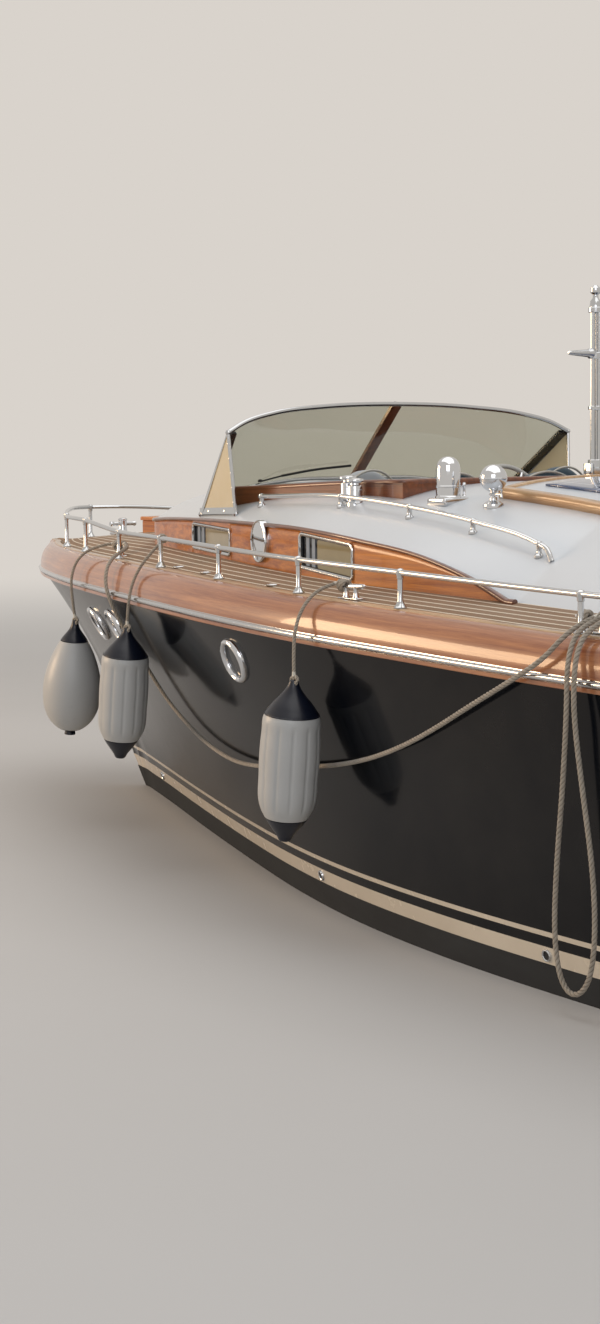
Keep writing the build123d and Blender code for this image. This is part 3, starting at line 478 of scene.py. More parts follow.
def roof_edge(x):
    """Lower edge of the roof: the top of the wooden side, or the deck where that side has run out."""
    return np.maximum(side_top(x), deck_height(x, trunk_half(x)) - TEAK)


def roof_height(x, y):
    """Roof at a place: from its edge up to the crown by a power of the distance from the centreline."""
    low, crown, power = roof_edge(x), through(TRUNK, 3, x), through(TRUNK, 4, x)
    return low + (crown - low) * (1 - np.clip(np.abs(y) / trunk_half(x), 0, 1) ** power)


def plan_outline(start, count):
    """Port half of the trunk in plan: along its side, then round its nose to the centreline."""
    side = np.linspace(start, ROUND_X, count)
    t = np.linspace(0, 1, 30)[1:]
    a = math.pi / 2 * (1 - (1 - t) ** 2)
    nose = ROUND_X + ROUND_LENGTH * np.sin(a)
    width = (trunk_half(ROUND_X) - ROUND_TAPER * (nose - ROUND_X)) * np.sqrt(np.maximum(np.cos(a), 0))
    return np.concatenate([side, nose]), np.concatenate([trunk_half(side), width])


def roof_patch(x, y, low_share, high_share, depth):
    """Roof between two shares of the way from its edge to the spine, rounded by the power of its shoulder."""
    spine = np.minimum(x, SPINE_X)
    low = np.maximum(side_top(x), deck_height(x, y) - TEAK)
    crown = through(TRUNK, 3, spine)
    power = through(TRUNK, 4, spine)
    t = np.linspace(0, 1, depth)[None, :]
    if np.max(low_share) == 0:
        t = t ** 1.5
    f = low_share[:, None] * (1 - t) + high_share[:, None] * t
    px = x[:, None] * (1 - f) + spine[:, None] * f
    py = y[:, None] * (1 - f)
    pz = low[:, None] + (crown - low)[:, None] * (1 - (1 - f) ** power[:, None])
    return grid(sheet(px, py, pz))


def on_roof(x, y, lift=0.0):
    """Point on the roof, lifted off it."""
    return (x, y, roof_height(x, y) + lift)


def sheer_path():
    """The hull's edge in plan from the port quarter round the bow: centre, arm, inner share, height, outward way."""
    x = np.concatenate([np.linspace(STERN_X, 4.5, 90), np.linspace(4.5, BOW_X, 40)[1:]])
    half = through(HULL, 1, x)
    share = inner_edge(x) / half
    top = through(HULL, 4, x)
    a = np.linspace(0, math.pi, 17)[1:-1]
    nose_x, nose_y = NOSE_LENGTH * np.sin(a), half[-1] * np.cos(a)
    centre = np.concatenate([x, np.full(15, BOW_X), x[::-1]])
    arm = np.concatenate([np.column_stack([0 * x, half]), np.column_stack([nose_x, nose_y]),
                          np.column_stack([0 * x, -half])[::-1]])
    share = np.concatenate([share, np.full(15, share[-1]), share[::-1]])
    top = np.concatenate([top, np.full(15, top[-1]), top[::-1]])
    plan = arm + np.column_stack([centre, 0 * centre])
    way = np.gradient(plan, axis=0)
    out = np.column_stack([-way[:, 1], way[:, 0]]) / np.linalg.norm(way, axis=1)[:, None]
    return centre, arm, share, top, out


def moulding(profile):
    """A closed profile of inward share, outward step and height, carried round the hull's edge."""
    centre, arm, share, top, out = sheer_path()
    k, step, height = (np.asarray(profile, float)[None, :, c] for c in range(3))
    scale = 1 - k + k * share[:, None]
    x = centre[:, None] + arm[:, :1] * scale + out[:, :1] * step
    y = arm[:, 1:] * scale + out[:, 1:] * step
    band = with_ends(grid(np.stack([x, y, top[:, None] + height], -1), round_columns=True), len(profile))
    run = travelled(np.column_stack([x[:, 0], y[:, 0]]))
    steps = np.hypot(CAP_WIDTH * np.diff(profile[:, 0]), np.diff(profile[:, 2]))
    girth = np.concatenate([[0], np.cumsum(steps)])
    return band, np.stack([run[:, None] + 0 * girth, girth + 0 * run[:, None]], -1).reshape(-1, 2)


def strake(low, high, columns=24):
    """Band of the hull's skin between two heights, both sides and the transom."""
    dense = np.linspace(4.4, BOW_X, 400)
    end = dense[np.argmax(through(HULL, 3, dense) >= high - 0.002)] if high < 1.3 else BOW_X
    x = np.concatenate([np.linspace(STERN_X, 4.4, 110), np.linspace(4.4, end, 70)[1:]])
    keel, top = through(HULL, 3, x), through(HULL, 4, x)
    foot = np.maximum(low, keel)
    t = np.linspace(0, 1, columns)[None, :]
    z = foot[:, None] + (np.minimum(high, top) - foot)[:, None] * t
    y = hull_half(x[:, None], z)
    y[keel >= low, 0] = 0
    side = grid(sheet(x[:, None], y, z))
    shapes = [side, mirrored(side)]
    across = np.linspace(-1, 1, 9)[:, None]
    stern = sheet(STERN_X, across * y[:1], z[:1])
    shapes.append(grid(stern))
    if high > 1.3:
        a = np.linspace(0, math.pi, 13)[:, None]
        nose = sheet(BOW_X + NOSE_LENGTH * np.sin(a) * y[-1:] / y[-1, -1], y[-1:] * np.cos(a), z[-1:])
        shapes.append(grid(nose))
    return join(shapes)


# finishes

def add(tree, kind, inputs=(), **settings):
    """Adds one node with its settings, and links or sets its inputs by name or number; a colour may be a hex code."""
    made = tree.nodes.new("ShaderNode" + kind)
    for key, value in settings.items():
        setattr(made, key, value)
    for key, value in dict(inputs).items():
        socket = made.inputs[key]
        if isinstance(value, bpy.types.NodeSocket):
            tree.links.new(value, socket)
        else:
            socket.default_value = (*linear(value), 1) if socket.type == "RGBA" else value
    return made


def finish(name, colour, rough, **sockets):
    """A new material whose plain sockets are set on its shader, and the object's own coordinates."""
    material = bpy.data.materials.new(name)
    material.use_nodes = True
    tree = material.node_tree
    shader = tree.nodes["Principled BSDF"]
    shader.inputs["Base Color"].default_value = (*linear(colour), 1)
    shader.inputs["Roughness"].default_value = rough
    for key, value in sockets.items():
        shader.inputs[key.replace("_", " ")].default_value = value
    return material, tree, shader, add(tree, "TexCoord").outputs["Object"]


def cloud(tree, place, per_metre, detail=4.0, rough=0.5, stretch=(1, 1, 1), distortion=0.0, span=None):
    """Noise with a given number of patches in a metre, stretched, and spread over a span of values if one is given."""
    scaled = add(tree, "Mapping", {"Vector": place, "Scale": tuple(per_metre * s for s in stretch)})
    noise = add(tree, "TexNoise", {"Vector": scaled.outputs[0], "Scale": 1.0, "Detail": detail, "Roughness": rough,
                                   "Distortion": distortion}).outputs["Fac"]
    return noise if span is None else spread(tree, (noise, *span))


def spread(tree, *layers):
    """Sum of patterns, each a socket from 0 to 1 spread between its own low and high value."""
    total = None
    for factor, low, high in layers:
        part = add(tree, "MapRange", {"Value": factor, "To Min": low, "To Max": high}).outputs[0]
        total = part if total is None else add(tree, "Math", {0: total, 1: part}, operation="ADD").outputs[0]
    return total


def surface(tree, shader, colours=None, rough=None, relief=None):
    """Drives a shader: colours mixed in turn by a factor over the one before, a roughness, and a relief of a height
    with its real depth in millimetres and its strength."""
    if colours:
        mixed = colours[0]
        for factor, colour in zip(colours[1::2], colours[2::2]):
            mixed = add(tree, "Mix", {0: factor, 6: mixed, 7: colour}, data_type="RGBA").outputs[2]
        tree.links.new(mixed, shader.inputs["Base Color"])
    if rough:
        tree.links.new(rough, shader.inputs["Roughness"])
    if relief:
        height, millimetres, strength = relief
        bump = add(tree, "Bump", {"Height": height, "Distance": millimetres / 1000, "Strength": strength})
        tree.links.new(bump.outputs[0], shader.inputs["Normal"])


def enamel(name, code, rough=0.10, coat=1.0, dirt="#6E6A60", amount=0.10, level=0.5, haze=0.04):
    """Two-pack yacht enamel, sprayed and polished: deep gloss, a faint orange peel and a little dust."""
    material, tree, shader, place = finish(name, code, rough, Coat_Weight=coat, Coat_Roughness=haze, IOR=1.5,
                                           Specular_IOR_Level=level)
    dust = cloud(tree, place, 3.0, 6, 0.6, span=(-0.5 * amount, amount))
    surface(tree, shader, (code, dust, dirt), cloud(tree, place, 14.0, span=(rough * 0.8, rough * 1.5)),
            (cloud(tree, place, 60.0, 2), 0.25, 0.25))
    return material


def varnished(name, light, dark, along=(1, 0, 0), coat=1.0, by_map=False):
    """Brush varnish over mahogany or a pale hardwood: ribbon grain along the board under a clear coat."""
    material, tree, shader, place = finish(name, light, 0.32, Coat_Weight=coat, Coat_Roughness=0.05, Coat_IOR=1.5)
    if by_map:
        place = place.node.outputs["UV"]
    ribbon = cloud(tree, place, 38.0, 6, 0.68, [0.04 if a else 1.0 for a in along], 0.4)
    pores = cloud(tree, place, 420.0, 3, 0.6, [0.03 if a else 1.0 for a in along])
    boards = cloud(tree, place, 0.9, 2)
    figure = spread(tree, (ribbon, 0, 1), (pores, -0.16, 0.16), (boards, -0.12, 0.12))
    ramp = add(tree, "ValToRGB", {"Fac": figure})
    for stop, position, colour in zip(ramp.color_ramp.elements, (0.30, 0.68), (dark, light)):
        stop.position = position
        stop.color = (*linear(colour), 1)
    surface(tree, shader, (ramp.outputs[0],), relief=(pores, 0.15, 0.3))
    return material


def decking(name, wood, grey, caulk, pitch, seam, by_map=True):
    """Sawn teak planks, bleached by sun and salt, with pale caulked seams at an even pitch."""
    material, tree, shader, place = finish(name, wood, 0.72, IOR=1.45)
    flat = add(tree, "SeparateXYZ", {0: place.node.outputs["UV" if by_map else "Object"]})
    rows = add(tree, "Math", {0: flat.outputs[1], 1: pitch}, operation="DIVIDE").outputs[0]
    part = add(tree, "Math", {0: rows}, operation="FRACT").outputs[0]
    middle = add(tree, "Math", {0: part, 1: 0.5}, operation="SUBTRACT").outputs[0]
    middle = add(tree, "Math", {0: middle}, operation="ABSOLUTE").outputs[0]
    line = add(tree, "Math", {0: middle, 1: 0.5 - seam / pitch / 2}, operation="GREATER_THAN").outputs[0]
    number = add(tree, "Math", {0: rows}, operation="FLOOR").outputs[0]
    tone = add(tree, "TexWhiteNoise", {"W": number}, noise_dimensions="1D").outputs["Value"]
    grain = cloud(tree, place, 160.0, 5, 0.65, (0.05, 1, 1))
    bleach = spread(tree, (grain, -0.1, 0.75), (tone, -0.15, 0.25))
    worn = cloud(tree, place, 2.2, 5, span=(0.0, 0.35))
    deep = add(tree, "Math", {0: grain, 1: line}, operation="SUBTRACT").outputs[0]
    surface(tree, shader, (wood, bleach, grey, worn, "#8E8072", line, caulk), spread(tree, (grain, 0.6, 0.85)),
            (deep, 0.6, 0.5))
    return material


def polished(name, code, rough=0.10, smear=0.10, scratch=0.05):
    """Buffed marine steel or chrome plate: a mirror with light smears and hairline scratches."""
    material, tree, shader, place = finish(name, code, rough, Metallic=1.0)
    surface(tree, shader, rough=cloud(tree, place, 22.0, 5, 0.6, span=(rough * 0.5, rough + smear)),
            relief=(cloud(tree, place, 900.0, 2, 0.5, (1, 1, 0.1)), 0.05, scratch))
    return material


def cast_bronze(name):
    """Manganese bronze after a season afloat: brown-gold metal with a dull green-grey bloom."""
    material, tree, shader, place = finish(name, "#9A7440", 0.35, Metallic=1.0)
    bloom = cloud(tree, place, 18.0, 7, 0.65, span=(-0.4, 1.0))
    surface(tree, shader, ("#A37B44", bloom, "#5F6450"), spread(tree, (bloom, 0.28, 0.6)),
            (cloud(tree, place, 300.0), 0.3, 0.4))
    return material


def bottom_paint(name):
    """Antifouling, rolled on: dead matt, chalky, streaked along the flow."""
    material, tree, shader, place = finish(name, "#16191C", 0.85)
    chalk = cloud(tree, place, 6.0, 7, 0.65, (0.3, 1, 1), span=(-0.2, 0.55))
    surface(tree, shader, ("#14171B", chalk, "#34383A"), relief=(cloud(tree, place, 220.0), 0.5, 0.5))
    return material


def glazing(name, code, rough=0.02):
    """Tinted float glass: clear through, green-grey in its depth, with a film of salt."""
    material, tree, shader, place = finish(name, code, rough, Transmission_Weight=1.0, IOR=1.45)
    surface(tree, shader, rough=cloud(tree, place, 9.0, 6, 0.6, span=(rough, rough + 0.06)))
    return material


def painted_reflection_glass(name, light, dark, clear):
    """Mostly opaque glass under a wet gloss whose cream colour, mottled between two tones, is a painted reflection of
    low sun; in the cabin windows the colour is also that of a drawn blind.
    """
    material, tree, shader, place = finish(name, light, 0.12, Transmission_Weight=clear, IOR=1.45,
                                           Coat_Weight=0.6, Coat_Roughness=0.03)
    surface(tree, shader, (light, cloud(tree, place, 6.0, 5), dark))
    return material


def moulded(name, code, rough=0.4, scuff="#8C8A84", amount=0.25):
    """Moulded vinyl or plastic: even colour, a soft sheen, rubbed patches."""
    material, tree, shader, place = finish(name, code, rough, IOR=1.5)
    rub = cloud(tree, place, 7.0, 7, 0.7, span=(-1.6 * amount, amount))
    surface(tree, shader, (code, rub, scuff), cloud(tree, place, 18.0, span=(rough * 0.8, rough * 1.25)),
            (cloud(tree, place, 500.0, 2), 0.12, 0.3))
    return material


def leather(name, code, dark):
    """Marine upholstery hide: pebbled grain, darker in broad random patches, a dull sheen."""
    material, tree, shader, place = finish(name, code, 0.5, Sheen_Weight=0.15, IOR=1.5)
    scaled = add(tree, "Mapping", {"Vector": place, "Scale": (260.0, 260.0, 260.0)}).outputs[0]
    pebble = add(tree, "TexVoronoi", {"Vector": scaled, "Scale": 1.0}, feature="SMOOTH_F1").outputs["Distance"]
    surface(tree, shader, (code, cloud(tree, place, 5.0, 5, span=(0.0, 0.5)), dark), relief=(pebble, 0.5, 0.5))
    return material


def laid_rope(name, light, dark, yarn=0.0032):
    """Three-strand polyester, weathered: pale yarns laid across each strand, random dirt, and painted shade in the
    grooves between the strands.
    """
    material, tree, shader, place = finish(name, light, 0.85, Sheen_Weight=0.25, IOR=1.45)
    flat = add(tree, "SeparateXYZ", {0: place.node.outputs["UV"]})
    across = add(tree, "Math", {0: flat.outputs[0], 1: 2 * math.pi / yarn}, operation="MULTIPLY").outputs[0]
    around = add(tree, "Math", {0: flat.outputs[1], 1: 4.0}, operation="MULTIPLY").outputs[0]
    wave = add(tree, "Math", {0: across, 1: around}, operation="ADD").outputs[0]
    wave = add(tree, "Math", {0: wave}, operation="SINE").outputs[0]
    # painted shade: the colour darkens towards the grooves between the strands, where the map's second value is high
    groove_shade = add(tree, "MapRange", {"Value": flat.outputs[1], "From Min": 0.35, "From Max": 0.95}).outputs[0]
    dirt = cloud(tree, place, 30.0, 6, 0.65)
    dark_share = spread(tree, (wave, 0.0, 0.15), (dirt, -0.25, 0.55), (groove_shade, 0.0, 0.6))
    surface(tree, shader, (light, dark_share, dark), relief=(wave, 0.5, 0.7))
    return material


def cell_panel(name):
    """Blue panel under glass, ruled by thin pale conductors."""
    material, tree, shader, place = finish(name, "#17355F", 0.15, Coat_Weight=1.0, Coat_Roughness=0.03)
    flat = add(tree, "SeparateXYZ", {0: place})
    lines = None
    for axis, pitch, width in ((1, 0.125, 0.05), (0, 0.25, 0.02)):
        rows = add(tree, "Math", {0: flat.outputs[axis], 1: pitch}, operation="DIVIDE").outputs[0]
        part = add(tree, "Math", {0: rows}, operation="FRACT").outputs[0]
        line = add(tree, "Math", {0: part, 1: width}, operation="LESS_THAN").outputs[0]
        lines = line if lines is None else add(tree, "Math", {0: lines, 1: line}, operation="MAXIMUM").outputs[0]
    cells = cloud(tree, place, 40.0, 4, span=(0, 0.5))
    surface(tree, shader, ("#17355F", cells, "#24508A", lines, "#D9DEE2"))
    return material


# shapes of this boat's own pieces

def rounded_line(width, height, corner, count=9):
    """Closed line round a rectangle whose corners are quarter circles."""
    a = np.linspace(0, math.pi / 2, count)
    quarters = []
    for k, (sx, sy) in enumerate(((1, 1), (-1, 1), (-1, -1), (1, -1))):
        turn = a + k * math.pi / 2
        quarters.append(np.column_stack([sx * (width / 2 - corner) + corner * np.cos(turn),
                                         sy * (height / 2 - corner) + corner * np.sin(turn)]))
    return np.concatenate(quarters)


def framed(width, height, corner, profile, centre, along, out, up=(0, 0, 1)):
    """A profile of inset and height carried round a rectangle with round corners, as a closed ring."""
    rings = [rounded_line(width - 2 * d, height - 2 * d, max(corner - d, 0.003)) for d, _ in profile]
    flat = np.stack(rings, 1)
    heights = np.array([h for _, h in profile])[None, :, None]
    points = (flat[..., :1] * np.asarray(along) + flat[..., 1:] * np.asarray(up) + heights * np.asarray(out))
    return grid(points + np.asarray(centre), True, True)


def pane(width, height, corner, thick, centre, along, out, up=(0, 0, 1)):
    """A flat plate with round corners: its outline at the back and the front, each closed by one face."""
    line = rounded_line(width, height, corner)
    flat = line[:, :1] * np.asarray(along) + line[:, 1:] * np.asarray(up) + np.asarray(centre)
    step = np.asarray(out, float) * thick / 2
    return with_ends(grid(np.stack([flat - step, flat + step]), round_columns=True), len(line))


def wall_place(x0, x1):
    """Middle of the side between two places, the way along it and the way out of it."""
    a, b = float(trunk_half(x0)), float(trunk_half(x1))
    along = np.array((x1 - x0, b - a, 0.0))
    along /= np.linalg.norm(along)
    return np.array(((x0 + x1) / 2, (a + b) / 2, 0.0)), along, np.array((-along[1], along[0], 0.0))


def hull_spot(x, z):
    """Place on the port skin and the way straight out of it, from the slopes of its half breadth."""
    across = float(hull_half(x + 0.05, z) - hull_half(x - 0.05, z)) / 0.1
    upward = float(hull_half(x, z + 0.05) - hull_half(x, z - 0.05)) / 0.1
    out = np.array((-across, 1.0, -upward))
    return np.array((x, float(hull_half(x, z)), z)), out / np.linalg.norm(out)


def wall_patch(x, low, high, rows=7):
    """Part of the wooden side between two heights at each place along it."""
    t = np.linspace(0, 1, rows)[None, :]
    z = low[:, None] + (high - low)[:, None] * t
    y = trunk_half(x)[:, None] + 0 * z
    return grid(sheet(x[:, None], y, z))


def roof_board(x0, x1, y0, y1, lift, steps=(40, 40)):
    """Surface that follows the roof at an even height over it."""
    x = np.linspace(x0, x1, steps[0])[:, None]
    y = np.linspace(y1, y0, steps[1])[None, :]
    return grid(sheet(x, y, roof_height(x, y) + lift))


def deck_patch(x, far):
    """Deck between the covering board and a line further in, with its map: along the boat and in from the edge."""
    edge = inner_edge(x)
    t = np.linspace(0, 1, 26)[None, :]
    y = edge[:, None] + (far - edge)[:, None] * t
    place = x[:, None] + 0 * y
    uv = np.stack([place, edge[:, None] - y], -1).reshape(-1, 2)
    return grid(sheet(place, y, deck_height(place, y))), uv


def fin():
    """Ballast keel: a rounded section whose top and foot follow two lines along the boat."""
    x = np.linspace(-4.08, 3.28, 70)
    top = np.interp(x, (-4.1, -3.9, -3.0, -0.9, 2.2, 3.3), (-0.60, -0.52, -0.585, -0.635, -0.575, -0.47))
    foot = np.interp(x, (-4.1, -3.7, 1.2, 3.3), (-0.88, -0.90, -0.82, -0.50))
    wide = 0.035 * np.clip((x + 4.1) / 0.25, 0.15, 1) * np.clip((3.3 - x) / 0.6, 0.15, 1)
    a = full_turn(20)[None, :]
    y = wide[:, None] * np.sign(np.cos(a)) * np.abs(np.cos(a)) ** 0.5
    z = (top + foot)[:, None] / 2 + (top - foot)[:, None] / 2 * np.sign(np.sin(a)) * np.abs(np.sin(a)) ** 0.5
    return with_ends(grid(sheet(x[:, None], y, z), round_columns=True), 20)


def route_line(points, step=0.005):
    """Even points along the smooth spline that has the route's points as its control points."""
    data = bpy.data.curves.new("route", "CURVE")
    data.dimensions = "3D"
    spline = data.splines.new("NURBS")
    spline.points.add(len(points) - 1)
    spline.points.foreach_set("co", np.column_stack([np.array(points), np.ones(len(points))]).ravel())
    spline.order_u = 3
    spline.use_endpoint_u = True
    spline.resolution_u = 32
    helper = bpy.data.objects.new("route", data)
    bpy.context.scene.collection.objects.link(helper)
    mesh = bpy.data.meshes.new_from_object(helper)
    found = np.empty(len(mesh.vertices) * 3)
    mesh.vertices.foreach_get("co", found)
    bpy.data.objects.remove(helper)
    bpy.data.curves.remove(data)
    bpy.data.meshes.remove(mesh)
    found = found.reshape(-1, 3)
    run = travelled(found)
    at = np.linspace(0, run[-1], max(int(run[-1] / step), 8))
    return np.column_stack([np.interp(at, run, found[:, c]) for c in range(3)])


def laid(line, radius, pitch, sides=18):
    """Three-strand rope: a section of three lobes that turns once in each pitch along the line, with its map."""
    first, second = axes_along(line)
    run = travelled(line)
    a = full_turn(sides)[None, :]
    lobe = np.abs(np.cos(1.5 * a))
    r = radius * (0.87 + 0.20 * lobe ** 0.7)
    turn = a + 2 * math.pi * run[:, None] / pitch
    ring = np.cos(turn)[..., None] * first[:, None] + np.sin(turn)[..., None] * second[:, None]
    shape = with_ends(grid(line[:, None] + r[..., None] * ring, round_columns=True), sides)
    return shape, np.stack([run[:, None] + 0 * a, 1 - lobe + 0 * run[:, None]], -1).reshape(-1, 2)


def winding(centre, axis, radius, thick, turns, length, count=200):
    """Line of a rope wound round a bar: a helix with a little slack in each turn."""
    a = np.linspace(0, 2 * math.pi * turns, count)
    r = radius + thick * (0.5 + 0.08 * np.sin(2.3 * a))
    points = np.column_stack([r * np.cos(a), r * np.sin(a), length * (a / a[-1] - 0.5)])
    return points @ facing(axis).T + np.asarray(centre, float)


def sheer_post(x):
    """Foot of a rail post on the toe strip, and its height."""
    sheer, edge = through(HULL, 1, x), inner_edge(x)
    y = edge + TOE_SHARE * (sheer - edge) / 2
    return np.array((x, y, through(HULL, 4, x) + CAP_HEIGHT + POST_LIFT)), TALL_POSTS.get(x, POST_HEIGHT)


def rail_line():
    """Line of the port rail: from its foot aft, over the posts, to the post at the stem."""
    tops = [p + (0, 0, h) for p, h in map(sheer_post, STANCHIONS)]
    x, y, z = tops[0]
    foot = through(HULL, 4, x - 0.25) + CAP_HEIGHT + POST_LIFT
    bends = [(x - 0.25, y - 0.012, foot), (x - 0.25, y - 0.012, foot + 0.075), (x - 0.19, y - 0.008, z - 0.004)]
    nose = [(5.270, 0.325, RAIL_BOW_Z - 0.006), (5.470, 0.150, RAIL_BOW_Z), (BOW_POST - 0.010, 0.012, RAIL_BOW_Z)]
    return curve(bends + tops + nose, 420)


def post_profile(h, foot):
    """Radius and height of a rail post: flange, cone, bar, joint and ball."""
    low = [(0, 0), (foot, 0), (foot, 0.004), (foot * 0.85, 0.008), (0.0145, foot * 0.9), (0.0118, foot + 0.006)]
    high = mm([(11.8, -28), (15, -26), (15, -16), (17.2, -9), (18, 0), (17.2, 9), (11, 15.5), (0, 18)]) + (0, h)
    return np.concatenate([low, high])


def cleat_place(x):
    """Foot of a cleat and its turn to the hull's edge."""
    y = inner_edge(x) - 0.045
    turn = math.atan2(through(HULL, 1, x + 0.3) - through(HULL, 1, x - 0.3), 0.6)
    return np.array((x, y, deck_height(x, y + 0.012))), turn


def horn_cleat(centre, turn):
    """Cast cleat: a base pad, two legs that widen into the horns, and horns that taper to round ends."""
    c, s = math.cos(turn), math.sin(turn)
    along = np.array((c, s, 0.0))
    shapes = [block(centre + (0, 0, 0.006), (0.075, 0.023, 0.006), 0.004, turn)]
    for k in (-1, 1):
        foot = centre + along * 0.038 * k
        shapes.append(lathe(mm([(18, 8), (13, 22), (11, 40), (13, 58), (0, 62)]), foot))
    t = np.linspace(-1, 1, 41)
    line = centre + along * (0.113 * t)[:, None] + np.outer(0.060 + 0.006 * t ** 2, (0, 0, 1))
    shapes.append(tube(line, 0.0125 * np.sqrt(1.02 - np.abs(t) ** 5)))
    return join(shapes)


def foil(x0, x1, low, high, wide, y, rake=0.0):
    """Rudder blade: a streamlined section between two heights, thickest a third from its front."""
    t = np.linspace(0, 1, 24)
    half = wide * 2.97 * (np.sqrt(t) - 0.35 * t - 0.65 * t ** 2) / 1.05
    ring = np.concatenate([np.column_stack([t, half]), np.column_stack([t, -half])[::-1][1:-1]])
    u = np.linspace(0, 1, 16)
    shrink = np.sqrt(np.clip(1 - (1 - u) ** 6, 0.02, 1))[:, None]
    x = x0 + (x1 - x0) * (0.5 + (ring[None, :, 0] - 0.5) * (0.90 + 0.10 * shrink)) + rake * (1 - u)[:, None]
    points = np.stack([x, y + ring[None, :, 1] * shrink, (low + (high - low) * u)[:, None] + 0 * x], -1)
    return with_ends(grid(points, round_columns=True), len(ring))


def screw_blade(turn):
    """Propeller blade: an oval whose chord twists from steep at the hub to flat at the tip."""
    u = np.linspace(0, 1, 18)[:, None]
    a = full_turn(20)[None, :]
    r = 0.034 + 0.176 * u
    chord = 0.088 * np.sqrt(np.clip(1 - (u - 0.45) ** 2 / 0.33, 0.01, 1))
    pitch = np.radians(62 - 34 * u)
    across, thick = chord * np.cos(a), 0.0075 * (1.1 - u) * np.sin(a)
    y = across * np.cos(pitch) - thick * np.sin(pitch)
    z = across * np.sin(pitch) + thick * np.cos(pitch)
    points, faces = with_ends(grid(sheet(r, y, z), round_columns=True), 20)
    c, s = math.cos(turn), math.sin(turn)
    return points @ np.array(((c, s, 0), (-s, c, 0), (0, 0, 1))), faces


# colours and sizes that a user may change

COLOUR = {"subtype": "COLOR", "size": 3, "min": 0, "max": 1}


class BoatPaints(bpy.types.PropertyGroup):
    """Colours of the painted parts."""
    hull: FloatVectorProperty(name="Hull", description="Topside enamel", default=linear("#080C13"), **COLOUR)
    stripe: FloatVectorProperty(name="Stripe", description="Boot stripe enamel", default=linear("#D8CDB9"), **COLOUR)
    # the roof's default white is greyed and cooled a little: painted shade
    roof: FloatVectorProperty(name="Roof", description="Roof enamel", default=linear("#D3D7DA"), **COLOUR)
    seats: FloatVectorProperty(name="Seats", description="Bench leather", default=linear("#2F4A58"), **COLOUR)


class BoatSizes(bpy.types.PropertyGroup):
    """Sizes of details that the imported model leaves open."""
    plank: FloatProperty(name="Plank", description="Width of a deck plank with its seam", default=0.045, min=0.03,
                         max=0.1, unit="LENGTH")
    seam: FloatProperty(name="Seam", description="Width of the caulked seam", default=0.008, min=0.002, max=0.02,
                        unit="LENGTH")
    ribs: IntProperty(name="Ribs", description="Long ribs round a fender", default=12, min=6, max=24)
    lay: FloatProperty(name="Lay", description="Length of one turn of a rope, in diameters", default=3.2, min=2,
                       max=6)


# finishes of this boat, each made when it is first needed

LOOKS = {}


def paint(name):
    """A colour that the user set."""
    return tuple(getattr(bpy.context.scene.boat_paints, name))


